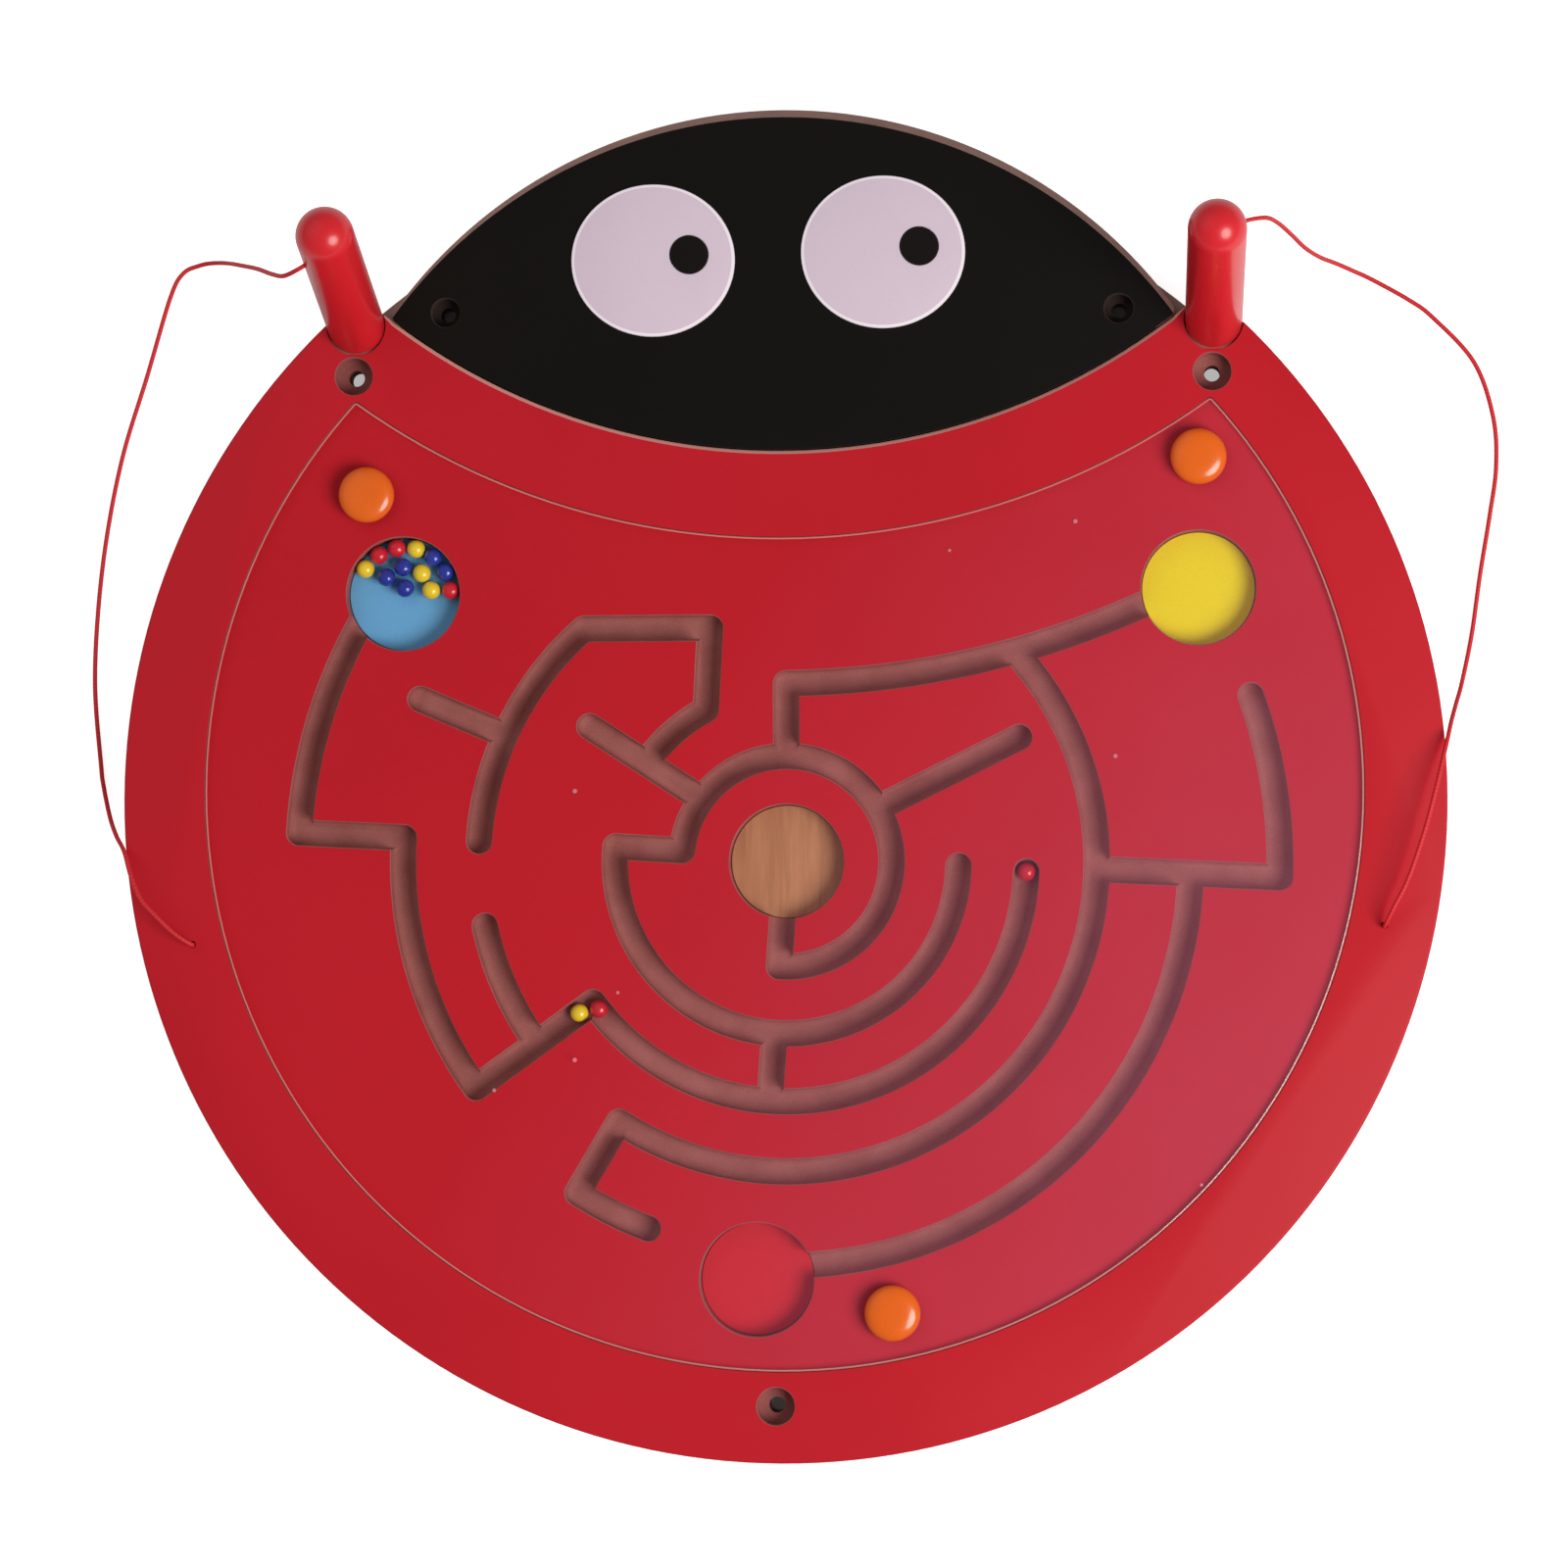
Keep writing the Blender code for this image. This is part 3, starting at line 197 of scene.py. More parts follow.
def studio():
    bpy.ops.object.camera_add(location=CAMERA_PLACE)
    camera = bpy.context.object
    camera.name = "photo_camera"
    camera.data.sensor_width = 36
    camera.data.lens = LENS
    back = (camera.location - Vector(CAMERA_TARGET)).normalized()
    across = Vector((0, 1, 0)).cross(back).normalized()
    camera.rotation_euler = Matrix((across, back.cross(across), back)).transposed().to_euler()
    bpy.context.scene.camera = camera

    bpy.ops.mesh.primitive_plane_add(size=8, location=(0, 0, -FLOOR_DROP))
    floor = bpy.context.object
    floor.name = "floor"
    floor.data.materials.append(floor_finish())

    for name, spot, size, power, colour in LAMPS:
        bpy.ops.object.light_add(type="AREA", location=spot)
        lamp = bpy.context.object
        lamp.name = name
        lamp.data.shape = "DISK"
        lamp.data.size = size
        lamp.data.energy = power
        lamp.data.color = colour
        lamp.visible_glossy = name == "key_softbox"
        aim(lamp, (0, 0, 0))

    world = bpy.data.worlds.new("studio")
    world.use_nodes = True
    sky = world.node_tree.nodes["Background"]
    sky.inputs["Color"].default_value = (1, 1, 1, 1)
    sky.inputs["Strength"].default_value = WORLD_LIGHT
    bpy.context.scene.world = world


# Materials

FINE_RELIEF = 0.0001
COARSE_RELIEF = 0.0002
BARE_ROUGHNESS = 0.8
PAINT_DEPTH = 0.0002    # how near to a lacquered level a face must lie
PAINTED_RIM = 0.2885    # beyond this radius the body's edge is lacquered


def srgb(red, green, blue):
    def line(c):
        c /= 255
        return c / 12.92 if c <= 0.04045 else ((c + 0.055) / 1.055) ** 2.4
    return line(red), line(green), line(blue), 1


def new_material(name, roughness, metallic=0.0, shine=0.5):
    made = bpy.data.materials.new(name)
    made.use_nodes = True
    shader = made.node_tree.nodes["Principled BSDF"]
    shader.inputs["Roughness"].default_value = roughness
    shader.inputs["Metallic"].default_value = metallic
    shader.inputs["Specular IOR Level"].default_value = shine
    return made, made.node_tree, shader


def node(tree, kind, **values):
    made = tree.nodes.new(kind)
    for key, value in values.items():
        if hasattr(made, key):
            setattr(made, key, value)
        else:
            made.inputs[key].default_value = value
    return made


def reshade(tree, value, low, high, out_low=0.0, out_high=1.0):
    """Carries a value from one range to another."""
    made = tree.nodes.new("ShaderNodeMapRange")
    for key, number in (("From Min", low), ("From Max", high), ("To Min", out_low), ("To Max", out_high)):
        made.inputs[key].default_value = number
    tree.links.new(value, made.inputs["Value"])
    return made.outputs["Result"]


def sums(tree, operation, first, second):
    made = node(tree, "ShaderNodeMath", operation=operation)
    for socket, value in zip(made.inputs, (first, second)):
        if isinstance(value, (int, float)):
            socket.default_value = value
        else:
            tree.links.new(value, socket)
    return made.outputs["Value"]


def blended(tree, share, first, second, way="MIX"):
    """Mixes two colours by a share."""
    made = node(tree, "ShaderNodeMix", data_type="RGBA", blend_type=way)
    for socket, value in zip((made.inputs["Factor"], made.inputs[6], made.inputs[7]), (share, first, second)):
        if isinstance(value, bpy.types.NodeSocket):
            tree.links.new(value, socket)
        else:
            socket.default_value = value
    return made.outputs[2]


def group(name, inputs, outputs):
    tree = bpy.data.node_groups.new(name, "ShaderNodeTree")
    for label, kind, value in inputs:
        tree.interface.new_socket(label, in_out="INPUT", socket_type=kind).default_value = value
    for label, kind in outputs:
        tree.interface.new_socket(label, in_out="OUTPUT", socket_type=kind)
    return tree, tree.nodes.new("NodeGroupInput"), tree.nodes.new("NodeGroupOutput")


def mottle_group():
    """Slow colour change, fine grain and a height for the bump, from Object coordinates."""
    tree, inside, out = group("mottle", [
        ("Colour", "NodeSocketColor", (0.5, 0.5, 0.5, 1)),
        ("Other Colour", "NodeSocketColor", (0.4, 0.4, 0.4, 1)),
        ("Patch Scale", "NodeSocketFloat", 12.0),
        ("Grain Scale", "NodeSocketFloat", 900.0),
        ("Grain", "NodeSocketFloat", 0.25),
    ], [("Colour", "NodeSocketColor"), ("Height", "NodeSocketFloat")])
    place = node(tree, "ShaderNodeTexCoord")
    patches = node(tree, "ShaderNodeTexNoise", Detail=4.0, Roughness=0.55)
    grains = node(tree, "ShaderNodeTexNoise", Detail=3.0, Roughness=0.6)
    for noise, scale in ((patches, "Patch Scale"), (grains, "Grain Scale")):
        tree.links.new(place.outputs["Object"], noise.inputs["Vector"])
        tree.links.new(inside.outputs[scale], noise.inputs["Scale"])
    slow = reshade(tree, patches.outputs["Fac"], 0.3, 0.7)
    shade = blended(tree, slow, inside.outputs["Colour"], inside.outputs["Other Colour"])
    speckle = reshade(tree, grains.outputs["Fac"], 0.25, 0.75, 0.72, 1.12)
    fine = blended(tree, inside.outputs["Grain"], shade, speckle, "MULTIPLY")
    tree.links.new(fine, out.inputs["Colour"])
    tree.links.new(grains.outputs["Fac"], out.inputs["Height"])
    return tree


def dust_group():
    """A mask of sparse small specks, as dust and chips leave on a surface."""
    tree, inside, out = group("dust", [
        ("Scale", "NodeSocketFloat", 60.0),
        ("Size", "NodeSocketFloat", 0.06),
        ("Share", "NodeSocketFloat", 0.08),
    ], [("Mask", "NodeSocketFloat")])
    place = node(tree, "ShaderNodeTexCoord")
    cells = node(tree, "ShaderNodeTexVoronoi", voronoi_dimensions="3D", feature="F1")
    tree.links.new(place.outputs["Object"], cells.inputs["Vector"])
    tree.links.new(inside.outputs["Scale"], cells.inputs["Scale"])
    near = sums(tree, "LESS_THAN", cells.outputs["Distance"], inside.outputs["Size"])
    chance = node(tree, "ShaderNodeSeparateColor")
    tree.links.new(cells.outputs["Color"], chance.inputs["Color"])
    rare = sums(tree, "LESS_THAN", chance.outputs["Red"], inside.outputs["Share"])
    tree.links.new(sums(tree, "MULTIPLY", near, rare), out.inputs["Mask"])
    return tree


MOTTLE = mottle_group()
DUST = dust_group()


def mottled(tree, colour, other, patch, grain_scale, grain):
    made = tree.nodes.new("ShaderNodeGroup")
    made.node_tree = MOTTLE
    for key, value in (("Colour", colour), ("Other Colour", other), ("Patch Scale", patch),
                       ("Grain Scale", grain_scale), ("Grain", grain)):
        made.inputs[key].default_value = value
    return made


def dusted(tree, scale, size, share):
    made = tree.nodes.new("ShaderNodeGroup")
    made.node_tree = DUST
    for key, value in (("Scale", scale), ("Size", size), ("Share", share)):
        made.inputs[key].default_value = value
    return made.outputs["Mask"]


def bump(tree, shader, height, strength, distance):
    made = tree.nodes.new("ShaderNodeBump")
    made.inputs["Strength"].default_value = strength
    made.inputs["Distance"].default_value = distance
    tree.links.new(height, made.inputs["Height"])
    tree.links.new(made.outputs["Normal"], shader.inputs["Normal"])


def place_and_facing(tree):
    """Object coordinates of the surface and the upward share of its flat normal."""
    place = node(tree, "ShaderNodeTexCoord")
    split = node(tree, "ShaderNodeSeparateXYZ")
    tree.links.new(place.outputs["Object"], split.inputs["Vector"])
    facing = node(tree, "ShaderNodeNewGeometry")
    upward = node(tree, "ShaderNodeSeparateXYZ")
    tree.links.new(facing.outputs["True Normal"], upward.inputs["Vector"])
    return place, split, upward.outputs["Z"]


def distance_from(tree, place, spot, height):
    """How far the surface lies from a spot of the plan, at the given height."""
    made = node(tree, "ShaderNodeVectorMath", operation="DISTANCE")
    made.inputs[1].default_value = (spot.x, spot.y, height)
    tree.links.new(place.outputs["Object"], made.inputs[0])
    return made.outputs["Value"]


def floor_finish():
    """White paper that glows for the camera, so it reads as a clean white ground. It glows a little in reflections
    too, which paints a brighter reflection of it on glossy pieces. The glow is cut down under the panel as painted
    shade, where holes show the floor from above.
    """
    made, tree, shader = new_material("floor_white", 0.9)
    shader.inputs["Base Color"].default_value = (0.8, 0.8, 0.8, 1)
    seen = node(tree, "ShaderNodeLightPath")
    # Painted reflection: glossy rays also see a weaker part of the glow.
    mirrored = sums(tree, "MULTIPLY", seen.outputs["Is Glossy Ray"], 0.15)
    glow = sums(tree, "MAXIMUM", seen.outputs["Is Camera Ray"], mirrored)
    place = node(tree, "ShaderNodeTexCoord")
    soft = 0.001
    # Painted shade: under the body, the head and the lower fixing, the glow is cut to the given share.
    for centre, radius, share in ((BODY, 0.28, 0.55), (HEAD, 0.2, 0.0), (Vector(FIXINGS[2]), 0.015, 0.03)):
        away = distance_from(tree, place, centre, 0)
        painted_shade_dimming = reshade(tree, away, radius - soft, radius + soft, share, 1.0)
        glow = sums(tree, "MULTIPLY", glow, painted_shade_dimming)
    glow = sums(tree, "MULTIPLY", glow, 0.8)
    shader.inputs["Emission Color"].default_value = (1, 1, 1, 1)
    tree.links.new(glow, shader.inputs["Emission Strength"])
    return made


def plain_finish(name, colour, other, roughness, patch=12.0, grain_scale=900.0, grain=0.2, relief=0.1,
                 metallic=0.0, coat=0.0, shine=0.5):
    made, tree, shader = new_material(name, roughness, metallic, shine)
    tint = mottled(tree, colour, other, patch, grain_scale, grain)
    tree.links.new(tint.outputs["Colour"], shader.inputs["Base Color"])
    bump(tree, shader, tint.outputs["Height"], relief, FINE_RELIEF)
    shader.inputs["Coat Weight"].default_value = coat
    shader.inputs["Coat Roughness"].default_value = 0.05
    return made


def board_finish(name, paint, paint_other, raw, raw_other, levels, roughness, rim=None, pale=None, darker_in_head=None):
    """Lacquered faces at the given heights, and raw board on every cut edge, groove and hole.

    Past the rim, a radius round the body's middle, the edge is lacquered too. A painted highlight, a pale colour,
    goes on the upward-facing part of the eased edge along the neck, and a darker colour on the raw board of the holes
    within the head."""
    made, tree, shader = new_material(name, roughness, shine=0.15)
    painted = mottled(tree, paint, paint_other, 7.0, 1400.0, 0.12)
    bare = mottled(tree, raw, raw_other, 60.0, 1500.0, 0.85)
    place, split, upward = place_and_facing(tree)
    raw_shade = bare.outputs["Colour"]
    # The raw board within the head's holes is given a darker colour.
    if darker_in_head:
        inside = sums(tree, "LESS_THAN", distance_from(tree, place, HEAD, FACE_Z), 0.2)
        raw_shade = blended(tree, inside, raw_shade, darker_in_head)
    mask = None
    for level in levels:
        near = node(tree, "ShaderNodeMath", operation="COMPARE")
        near.inputs[1].default_value = level
        near.inputs[2].default_value = PAINT_DEPTH
        tree.links.new(split.outputs["Z"], near.inputs[0])
        mask = near.outputs["Value"] if mask is None else sums(tree, "MAXIMUM", mask, near.outputs["Value"])
    mask = sums(tree, "MULTIPLY", mask, sums(tree, "GREATER_THAN", upward, 0.9))
    if rim:
        out = node(tree, "ShaderNodeVectorMath", operation="LENGTH")
        flat = node(tree, "ShaderNodeVectorMath", operation="MULTIPLY")
        flat.inputs[1].default_value = (1, 1, 0)
        tree.links.new(place.outputs["Object"], flat.inputs[0])
        tree.links.new(flat.outputs["Vector"], out.inputs[0])
        beyond = sums(tree, "GREATER_THAN", out.outputs["Value"], rim)
        eased = sums(tree, "MULTIPLY", beyond, sums(tree, "GREATER_THAN", upward, -0.5))
        mask = sums(tree, "MAXIMUM", mask, eased)
    # Painted highlight: the upward-facing part of the neck's eased edge gets the pale colour.
    if pale:
        from_neck = distance_from(tree, place, NECK, FACE_Z)
        beside = sums(tree, "LESS_THAN", from_neck, NECK_RADIUS + NECK_EASE + 0.0001)
        neck_highlight_mask = sums(tree, "MULTIPLY", beside, sums(tree, "GREATER_THAN", upward, 0.3))
        raw_shade = blended(tree, neck_highlight_mask, raw_shade, pale)
    tree.links.new(blended(tree, mask, raw_shade, painted.outputs["Colour"]), shader.inputs["Base Color"])
    tree.links.new(reshade(tree, mask, 0, 1, BARE_ROUGHNESS, roughness), shader.inputs["Roughness"])
    bump(tree, shader, bare.outputs["Height"], 0.12, COARSE_RELIEF)
    return made


def wood_finish(name, light, dark, stretch_by, roughness):
    made, tree, shader = new_material(name, roughness)
    place = node(tree, "ShaderNodeTexCoord")
    stretch = node(tree, "ShaderNodeMapping")
    stretch.inputs["Scale"].default_value = stretch_by
    tree.links.new(place.outputs["Object"], stretch.inputs["Vector"])
    fibres = node(tree, "ShaderNodeTexNoise", Scale=1.0, Detail=8.0, Roughness=0.62, Distortion=0.4)
    tree.links.new(stretch.outputs["Vector"], fibres.inputs["Vector"])
    ramp = node(tree, "ShaderNodeValToRGB")
    ramp.color_ramp.elements[0].position = 0.36
    ramp.color_ramp.elements[0].color = dark
    ramp.color_ramp.elements[1].position = 0.64
    ramp.color_ramp.elements[1].color = light
    tree.links.new(fibres.outputs["Fac"], ramp.inputs["Fac"])
    tree.links.new(ramp.outputs["Color"], shader.inputs["Base Color"])
    bump(tree, shader, fibres.outputs["Fac"], 0.15, COARSE_RELIEF)
    return made


def eye_finish():
    """Lilac laminate, with a painted highlight: a paler colour on the eased edge, where the flat normal leaves the
    upright.
    """
    made, tree, shader = new_material("eye_laminate", 0.4, shine=0.2)
    _, _, upward = place_and_facing(tree)
    face = mottled(tree, srgb(220, 201, 215), srgb(214, 195, 210), 9.0, 1200.0, 0.12)
    # Painted highlight on the eased edge.
    edge = sums(tree, "LESS_THAN", upward, 0.995)
    tree.links.new(blended(tree, edge, face.outputs["Colour"], srgb(244, 234, 242)), shader.inputs["Base Color"])
    bump(tree, shader, face.outputs["Height"], 0.08, FINE_RELIEF)
    return made


def cover_finish():
    """Clear sheet: a painted highlight on its cut sides, a soft pink painted reflection that grows to the right and
    below, a little dust, and a painted sheen that covers it at low angles."""
    made, tree, shader = new_material("clear_sheet", 0.12)
    shader.inputs["IOR"].default_value = 1.8
    place, split, upward = place_and_facing(tree)
    # Painted reflection: a pink veil that grows to the right and below, broken up by a cloud.
    slope = sums(tree, "SUBTRACT", split.outputs["X"], sums(tree, "MULTIPLY", split.outputs["Y"], 0.55))
    painted_reflection = reshade(tree, slope, -0.06, 0.30, 0.0, 0.062)
    cloud = node(tree, "ShaderNodeTexNoise", Scale=9.0, Detail=3.0)
    tree.links.new(place.outputs["Object"], cloud.inputs["Vector"])
    painted_reflection = sums(tree, "MULTIPLY", painted_reflection, reshade(tree, cloud.outputs["Fac"], 0.2, 0.8, 0.75, 1.25))
    specks = sums(tree, "MULTIPLY", dusted(tree, 55.0, 0.055, 0.08), 0.55)
    # Painted highlight: the sheet's cut sides get more cover and a pale colour.
    cut = sums(tree, "LESS_THAN", sums(tree, "ABSOLUTE", upward, 0.0), 0.97)
    edge = sums(tree, "MULTIPLY", cut, 0.5)
    glance = node(tree, "ShaderNodeLayerWeight", Blend=0.5)
    sheen = sums(tree, "MULTIPLY", sums(tree, "POWER", glance.outputs["Facing"], 3.0), 0.45)
    veil = sums(tree, "MAXIMUM", sums(tree, "MAXIMUM", painted_reflection, specks), edge)
    tree.links.new(sums(tree, "ADD", veil, sheen), shader.inputs["Alpha"])
    pale = sums(tree, "MAXIMUM", cut, specks)
    painted_reflection_colour = (0.85, 0.26, 0.46, 1)
    tree.links.new(blended(tree, pale, painted_reflection_colour, srgb(250, 178, 170)), shader.inputs["Base Color"])
    return made


def braid_finish():
    """Two strands crossing round the cord, from its own map."""
    made, tree, shader = new_material("red_braid", 0.65)
    where = node(tree, "ShaderNodeUVMap", uv_map="UVMap")
    split = node(tree, "ShaderNodeSeparateXYZ")
    tree.links.new(where.outputs["UV"], split.inputs["Vector"])
    strands = []
    for way in (1, -1):
        along = sums(tree, "MULTIPLY", split.outputs["X"], 900.0)
        around = sums(tree, "MULTIPLY", split.outputs["Y"], way * math.tau * 2)
        strands.append(sums(tree, "SINE", sums(tree, "ADD", along, around), 0.0))
    weave = sums(tree, "MULTIPLY", strands[0], strands[1])
    share = reshade(tree, weave, -1, 1)
    tree.links.new(blended(tree, share, srgb(186, 20, 30), srgb(226, 40, 48)), shader.inputs["Base Color"])
    bump(tree, shader, weave, 0.4, FINE_RELIEF)
    return made


# Modelling

def deselect():
    for obj in bpy.context.selected_objects:
        obj.select_set(False)


def pick(obj):
    deselect()
    obj.select_set(True)
    bpy.context.view_layer.objects.active = obj


def edit(obj):
    pick(obj)
    bpy.ops.object.mode_set(mode="EDIT")
    bpy.ops.mesh.select_all(action="SELECT")


def leave(place=(0, 0, 0), turn=0.0, lean=0.0):
    """Ends the edit, and puts the piece at its place with the turn and lean in its mesh."""
    bpy.ops.mesh.select_all(action="SELECT")
    bpy.ops.mesh.normals_make_consistent(inside=False)
    bpy.ops.object.mode_set(mode="OBJECT")
    obj = bpy.context.object
    obj.location = place
    obj.rotation_euler = (-math.radians(lean), 0, math.radians(turn))
    bpy.ops.object.transform_apply(location=True, rotation=True, scale=True)
    return obj


def select_points(obj, test):
    """Selects the points that pass the test, with the edges and faces between them."""
    bpy.ops.mesh.select_mode(type="VERT")
    bpy.ops.mesh.select_all(action="DESELECT")
    bpy.ops.object.mode_set(mode="OBJECT")
    for point in obj.data.vertices:
        point.select = test(point.co)
    bpy.ops.object.mode_set(mode="EDIT")


def copy_of(master):
    made = master.copy()
    made.data = master.data.copy()
    bpy.context.scene.collection.objects.link(made)
    pick(made)
    return made


def polar(radius, degrees):
    angle = math.radians(degrees)
    return Vector((radius * math.cos(angle), radius * math.sin(angle)))


def angle_of(vector):
    return math.degrees(math.atan2(vector.y, vector.x))


def steps_for(radius, degrees):
    """Steps that keep an arc's chords near it."""
    return max(2, math.ceil(abs(degrees) / math.degrees(math.sqrt(8 * CHORD_ERROR / radius))))


def meeting(centre, radius, other, other_radius):
    """The right-hand point where two circles meet."""
    apart = (other - centre).length
    along = (radius ** 2 - other_radius ** 2 + apart ** 2) / (2 * apart)
    forward = (other - centre) / apart
    return centre + forward * along + Vector((forward.y, -forward.x)) * math.sqrt(radius ** 2 - along ** 2)


def crescent(centre, radius, neck_radius, corner):
    """Arcs round a disc with the neck's disc taken out of its top."""
    tip = meeting(centre, radius - corner, NECK, neck_radius + corner)
    outer, inner, neck = angle_of(tip - centre), angle_of(NECK - tip), angle_of(tip - NECK)
    return [(centre, radius, 180 - outer, 360 + outer), (tip, corner, outer, inner),
            (NECK, neck_radius, neck, -180 - neck), (Vector((-tip.x, tip.y)), corner, 180 - inner, 180 - outer)]


def lens(centre, radius, neck_radius, corner):
    """Arcs round the part of a disc that lies inside the neck's disc."""
    tip = meeting(centre, radius - corner, NECK, neck_radius - corner)
    outer, neck = angle_of(tip - centre), angle_of(tip - NECK)
    return [(centre, radius, outer, 180 - outer), (Vector((-tip.x, tip.y)), corner, 180 - outer, 180 - neck),
            (NECK, neck_radius, 180 - neck, 360 + neck), (tip, corner, neck, outer)]


def plate(name, arcs, low, high):
    """A flat plate: one point is spun round each arc of its outline, and the ring is filled and drawn up."""
    centre, radius, start, _ = arcs[0]
    first = centre + polar(radius, start)
    bpy.ops.mesh.primitive_plane_add(size=0.001, location=(first.x, first.y, low))
    obj = bpy.context.object
    obj.name = name
    bpy.ops.object.transform_apply(location=True)
    edit(obj)
    bpy.ops.mesh.merge(type="CENTER")
    for centre, radius, start, end in arcs:
        bpy.ops.mesh.spin(steps=steps_for(radius, end - start), angle=-math.radians(end - start),
                          center=(centre.x, centre.y, low), axis=(0, 0, 1))
    bpy.ops.mesh.select_all(action="SELECT")
    bpy.ops.mesh.remove_doubles(threshold=0.00002)
    bpy.ops.mesh.edge_face_add()
    bpy.ops.mesh.extrude_region_move(TRANSFORM_OT_translate={"value": (0, 0, high - low)})
    return leave()


def ease(obj, level, width, test=None, segments=3):
    """Rounds over the rim of a plate at one level, or the part of it that passes the test."""
    edit(obj)
    bpy.ops.mesh.select_mode(type="EDGE")
    bpy.ops.mesh.select_all(action="DESELECT")
    bpy.ops.object.mode_set(mode="OBJECT")
    points = obj.data.vertices
    for edge in obj.data.edges:
        ends = [points[i].co for i in edge.vertices]
        edge.select = all(abs(end.z - level) < 0.00001 and (test is None or test(end)) for end in ends)
    bpy.ops.object.mode_set(mode="EDIT")
    bpy.ops.mesh.bevel(offset=width, segments=segments, affect="EDGES")
    bpy.ops.mesh.select_mode(type="VERT")
    leave()


def turned(name, rings, place=(0, 0, 0), sides=48, squash=1.0, lean=0.0):
    """A turned piece: a filled circle is drawn up or down, ring by ring, and squashed if it is oval."""
    radius, height = rings[0]
    bpy.ops.mesh.primitive_circle_add(vertices=sides, radius=radius, fill_type="NGON", location=(0, 0, height))
    obj = bpy.context.object
    obj.name = name
    bpy.ops.object.transform_apply(location=True)
    edit(obj)
    for wide, high in rings[1:]:
        bpy.ops.mesh.extrude_region_move(TRANSFORM_OT_translate={"value": (0, 0, high - height)})
        bpy.ops.transform.resize(value=(wide / radius, wide / radius, 1))
        radius, height = wide, high
    bpy.ops.mesh.select_all(action="SELECT")
    bpy.ops.transform.resize(value=(1, squash, 1), center_override=(0, 0, 0))
    return leave(place, lean=lean)


def carve(obj, tools, operation="DIFFERENCE"):
    """Cuts the tools out of a piece, or keeps what lies inside them, and puts the tools away."""
    bench = bpy.data.collections.new("bench")
    bpy.context.scene.collection.children.link(bench)
    for tool in tools:
        bench.objects.link(tool)
    pick(obj)
    step = obj.modifiers.new("carve", "BOOLEAN")
    step.operation = operation
    step.solver = "EXACT"
    step.operand_type = "COLLECTION"
    step.collection = bench
    bpy.ops.object.modifier_apply(modifier=step.name)
    for tool in tools:
        bpy.data.objects.remove(tool)
    bpy.data.collections.remove(bench)


def stand_for(obj, node_name, finish, body="panel", angle=40):
    """Gives a piece its shading and finish, and puts it in place of its CAD node."""
    pick(obj)
    bpy.ops.object.shade_smooth_by_angle(angle=math.radians(angle))
    obj.data.materials.clear()
    obj.data.materials.append(finish)
    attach(obj, body)
    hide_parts(node_name)
    deselect()


def dress(names, finish):
    for name in names:
        NODES[name].data.materials.clear()
        NODES[name].data.materials.append(finish)


# Router work

def bit_rings():
    """Outline of the round-cornered router bit, with the flare that eases a groove's lip."""
    rings = []
    for i in range(FILLET_STEPS + 1):
        turn = math.radians(90 * i / FILLET_STEPS)
        rings.append((GROOVE_HALF - GROOVE_FILLET + GROOVE_FILLET * math.sin(turn) - BIT_SHRINK,
                      GROOVE_Z + GROOVE_FILLET * (1 - math.cos(turn))))
    wide = GROOVE_HALF + LIP - BIT_SHRINK
    return rings + [(GROOVE_HALF - BIT_SHRINK, REBATE_Z - LIP), (wide, REBATE_Z), (wide, REBATE_Z + CLEAR)]


def router_section():
    """The section that the router clears, standing across the X axis."""
    low, high = GROOVE_Z, REBATE_Z - LIP
    bpy.ops.mesh.primitive_plane_add(size=1, location=(0, 0, (low + high) / 2), rotation=(math.radians(90), 0, 0))
    obj = bpy.context.object
    obj.scale = (2 * GROOVE_HALF, high - low, 1)
    bpy.ops.object.transform_apply(location=True, rotation=True, scale=True)
    edit(obj)
    select_points(obj, lambda point: point.z < low + 0.00001)
    bpy.ops.mesh.bevel(offset=GROOVE_FILLET, segments=FILLET_STEPS, affect="VERTICES")
    select_points(obj, lambda point: point.z > high - 0.00001)
    bpy.ops.mesh.extrude_edges_move(TRANSFORM_OT_translate={"value": (0, 0, LIP)})
    bpy.ops.transform.resize(value=((GROOVE_HALF + LIP) / GROOVE_HALF, 1, 1))
    bpy.ops.mesh.extrude_edges_move(TRANSFORM_OT_translate={"value": (0, 0, CLEAR)})
    bpy.ops.object.mode_set(mode="OBJECT")
    return obj


def round_run(section, centre, radius, start, end):
    """The section spun round an arc."""
    made = copy_of(section)
    made.location.x = radius
    bpy.ops.object.transform_apply(location=True)
    edit(made)
    bpy.ops.mesh.spin(steps=steps_for(radius, end - start), angle=-math.radians(end - start), center=(0, 0, 0),
                      axis=(0, 0, 1))
    return leave((centre.x, centre.y, 0), turn=start)


def straight_run(section, start, end):
    """The section drawn out from one place to another."""
    made = copy_of(section)
    edit(made)
    bpy.ops.mesh.extrude_region_move(TRANSFORM_OT_translate={"value": (0, (end - start).length, 0)})
    return leave((start.x, start.y, 0), turn=angle_of(end - start) - 90)


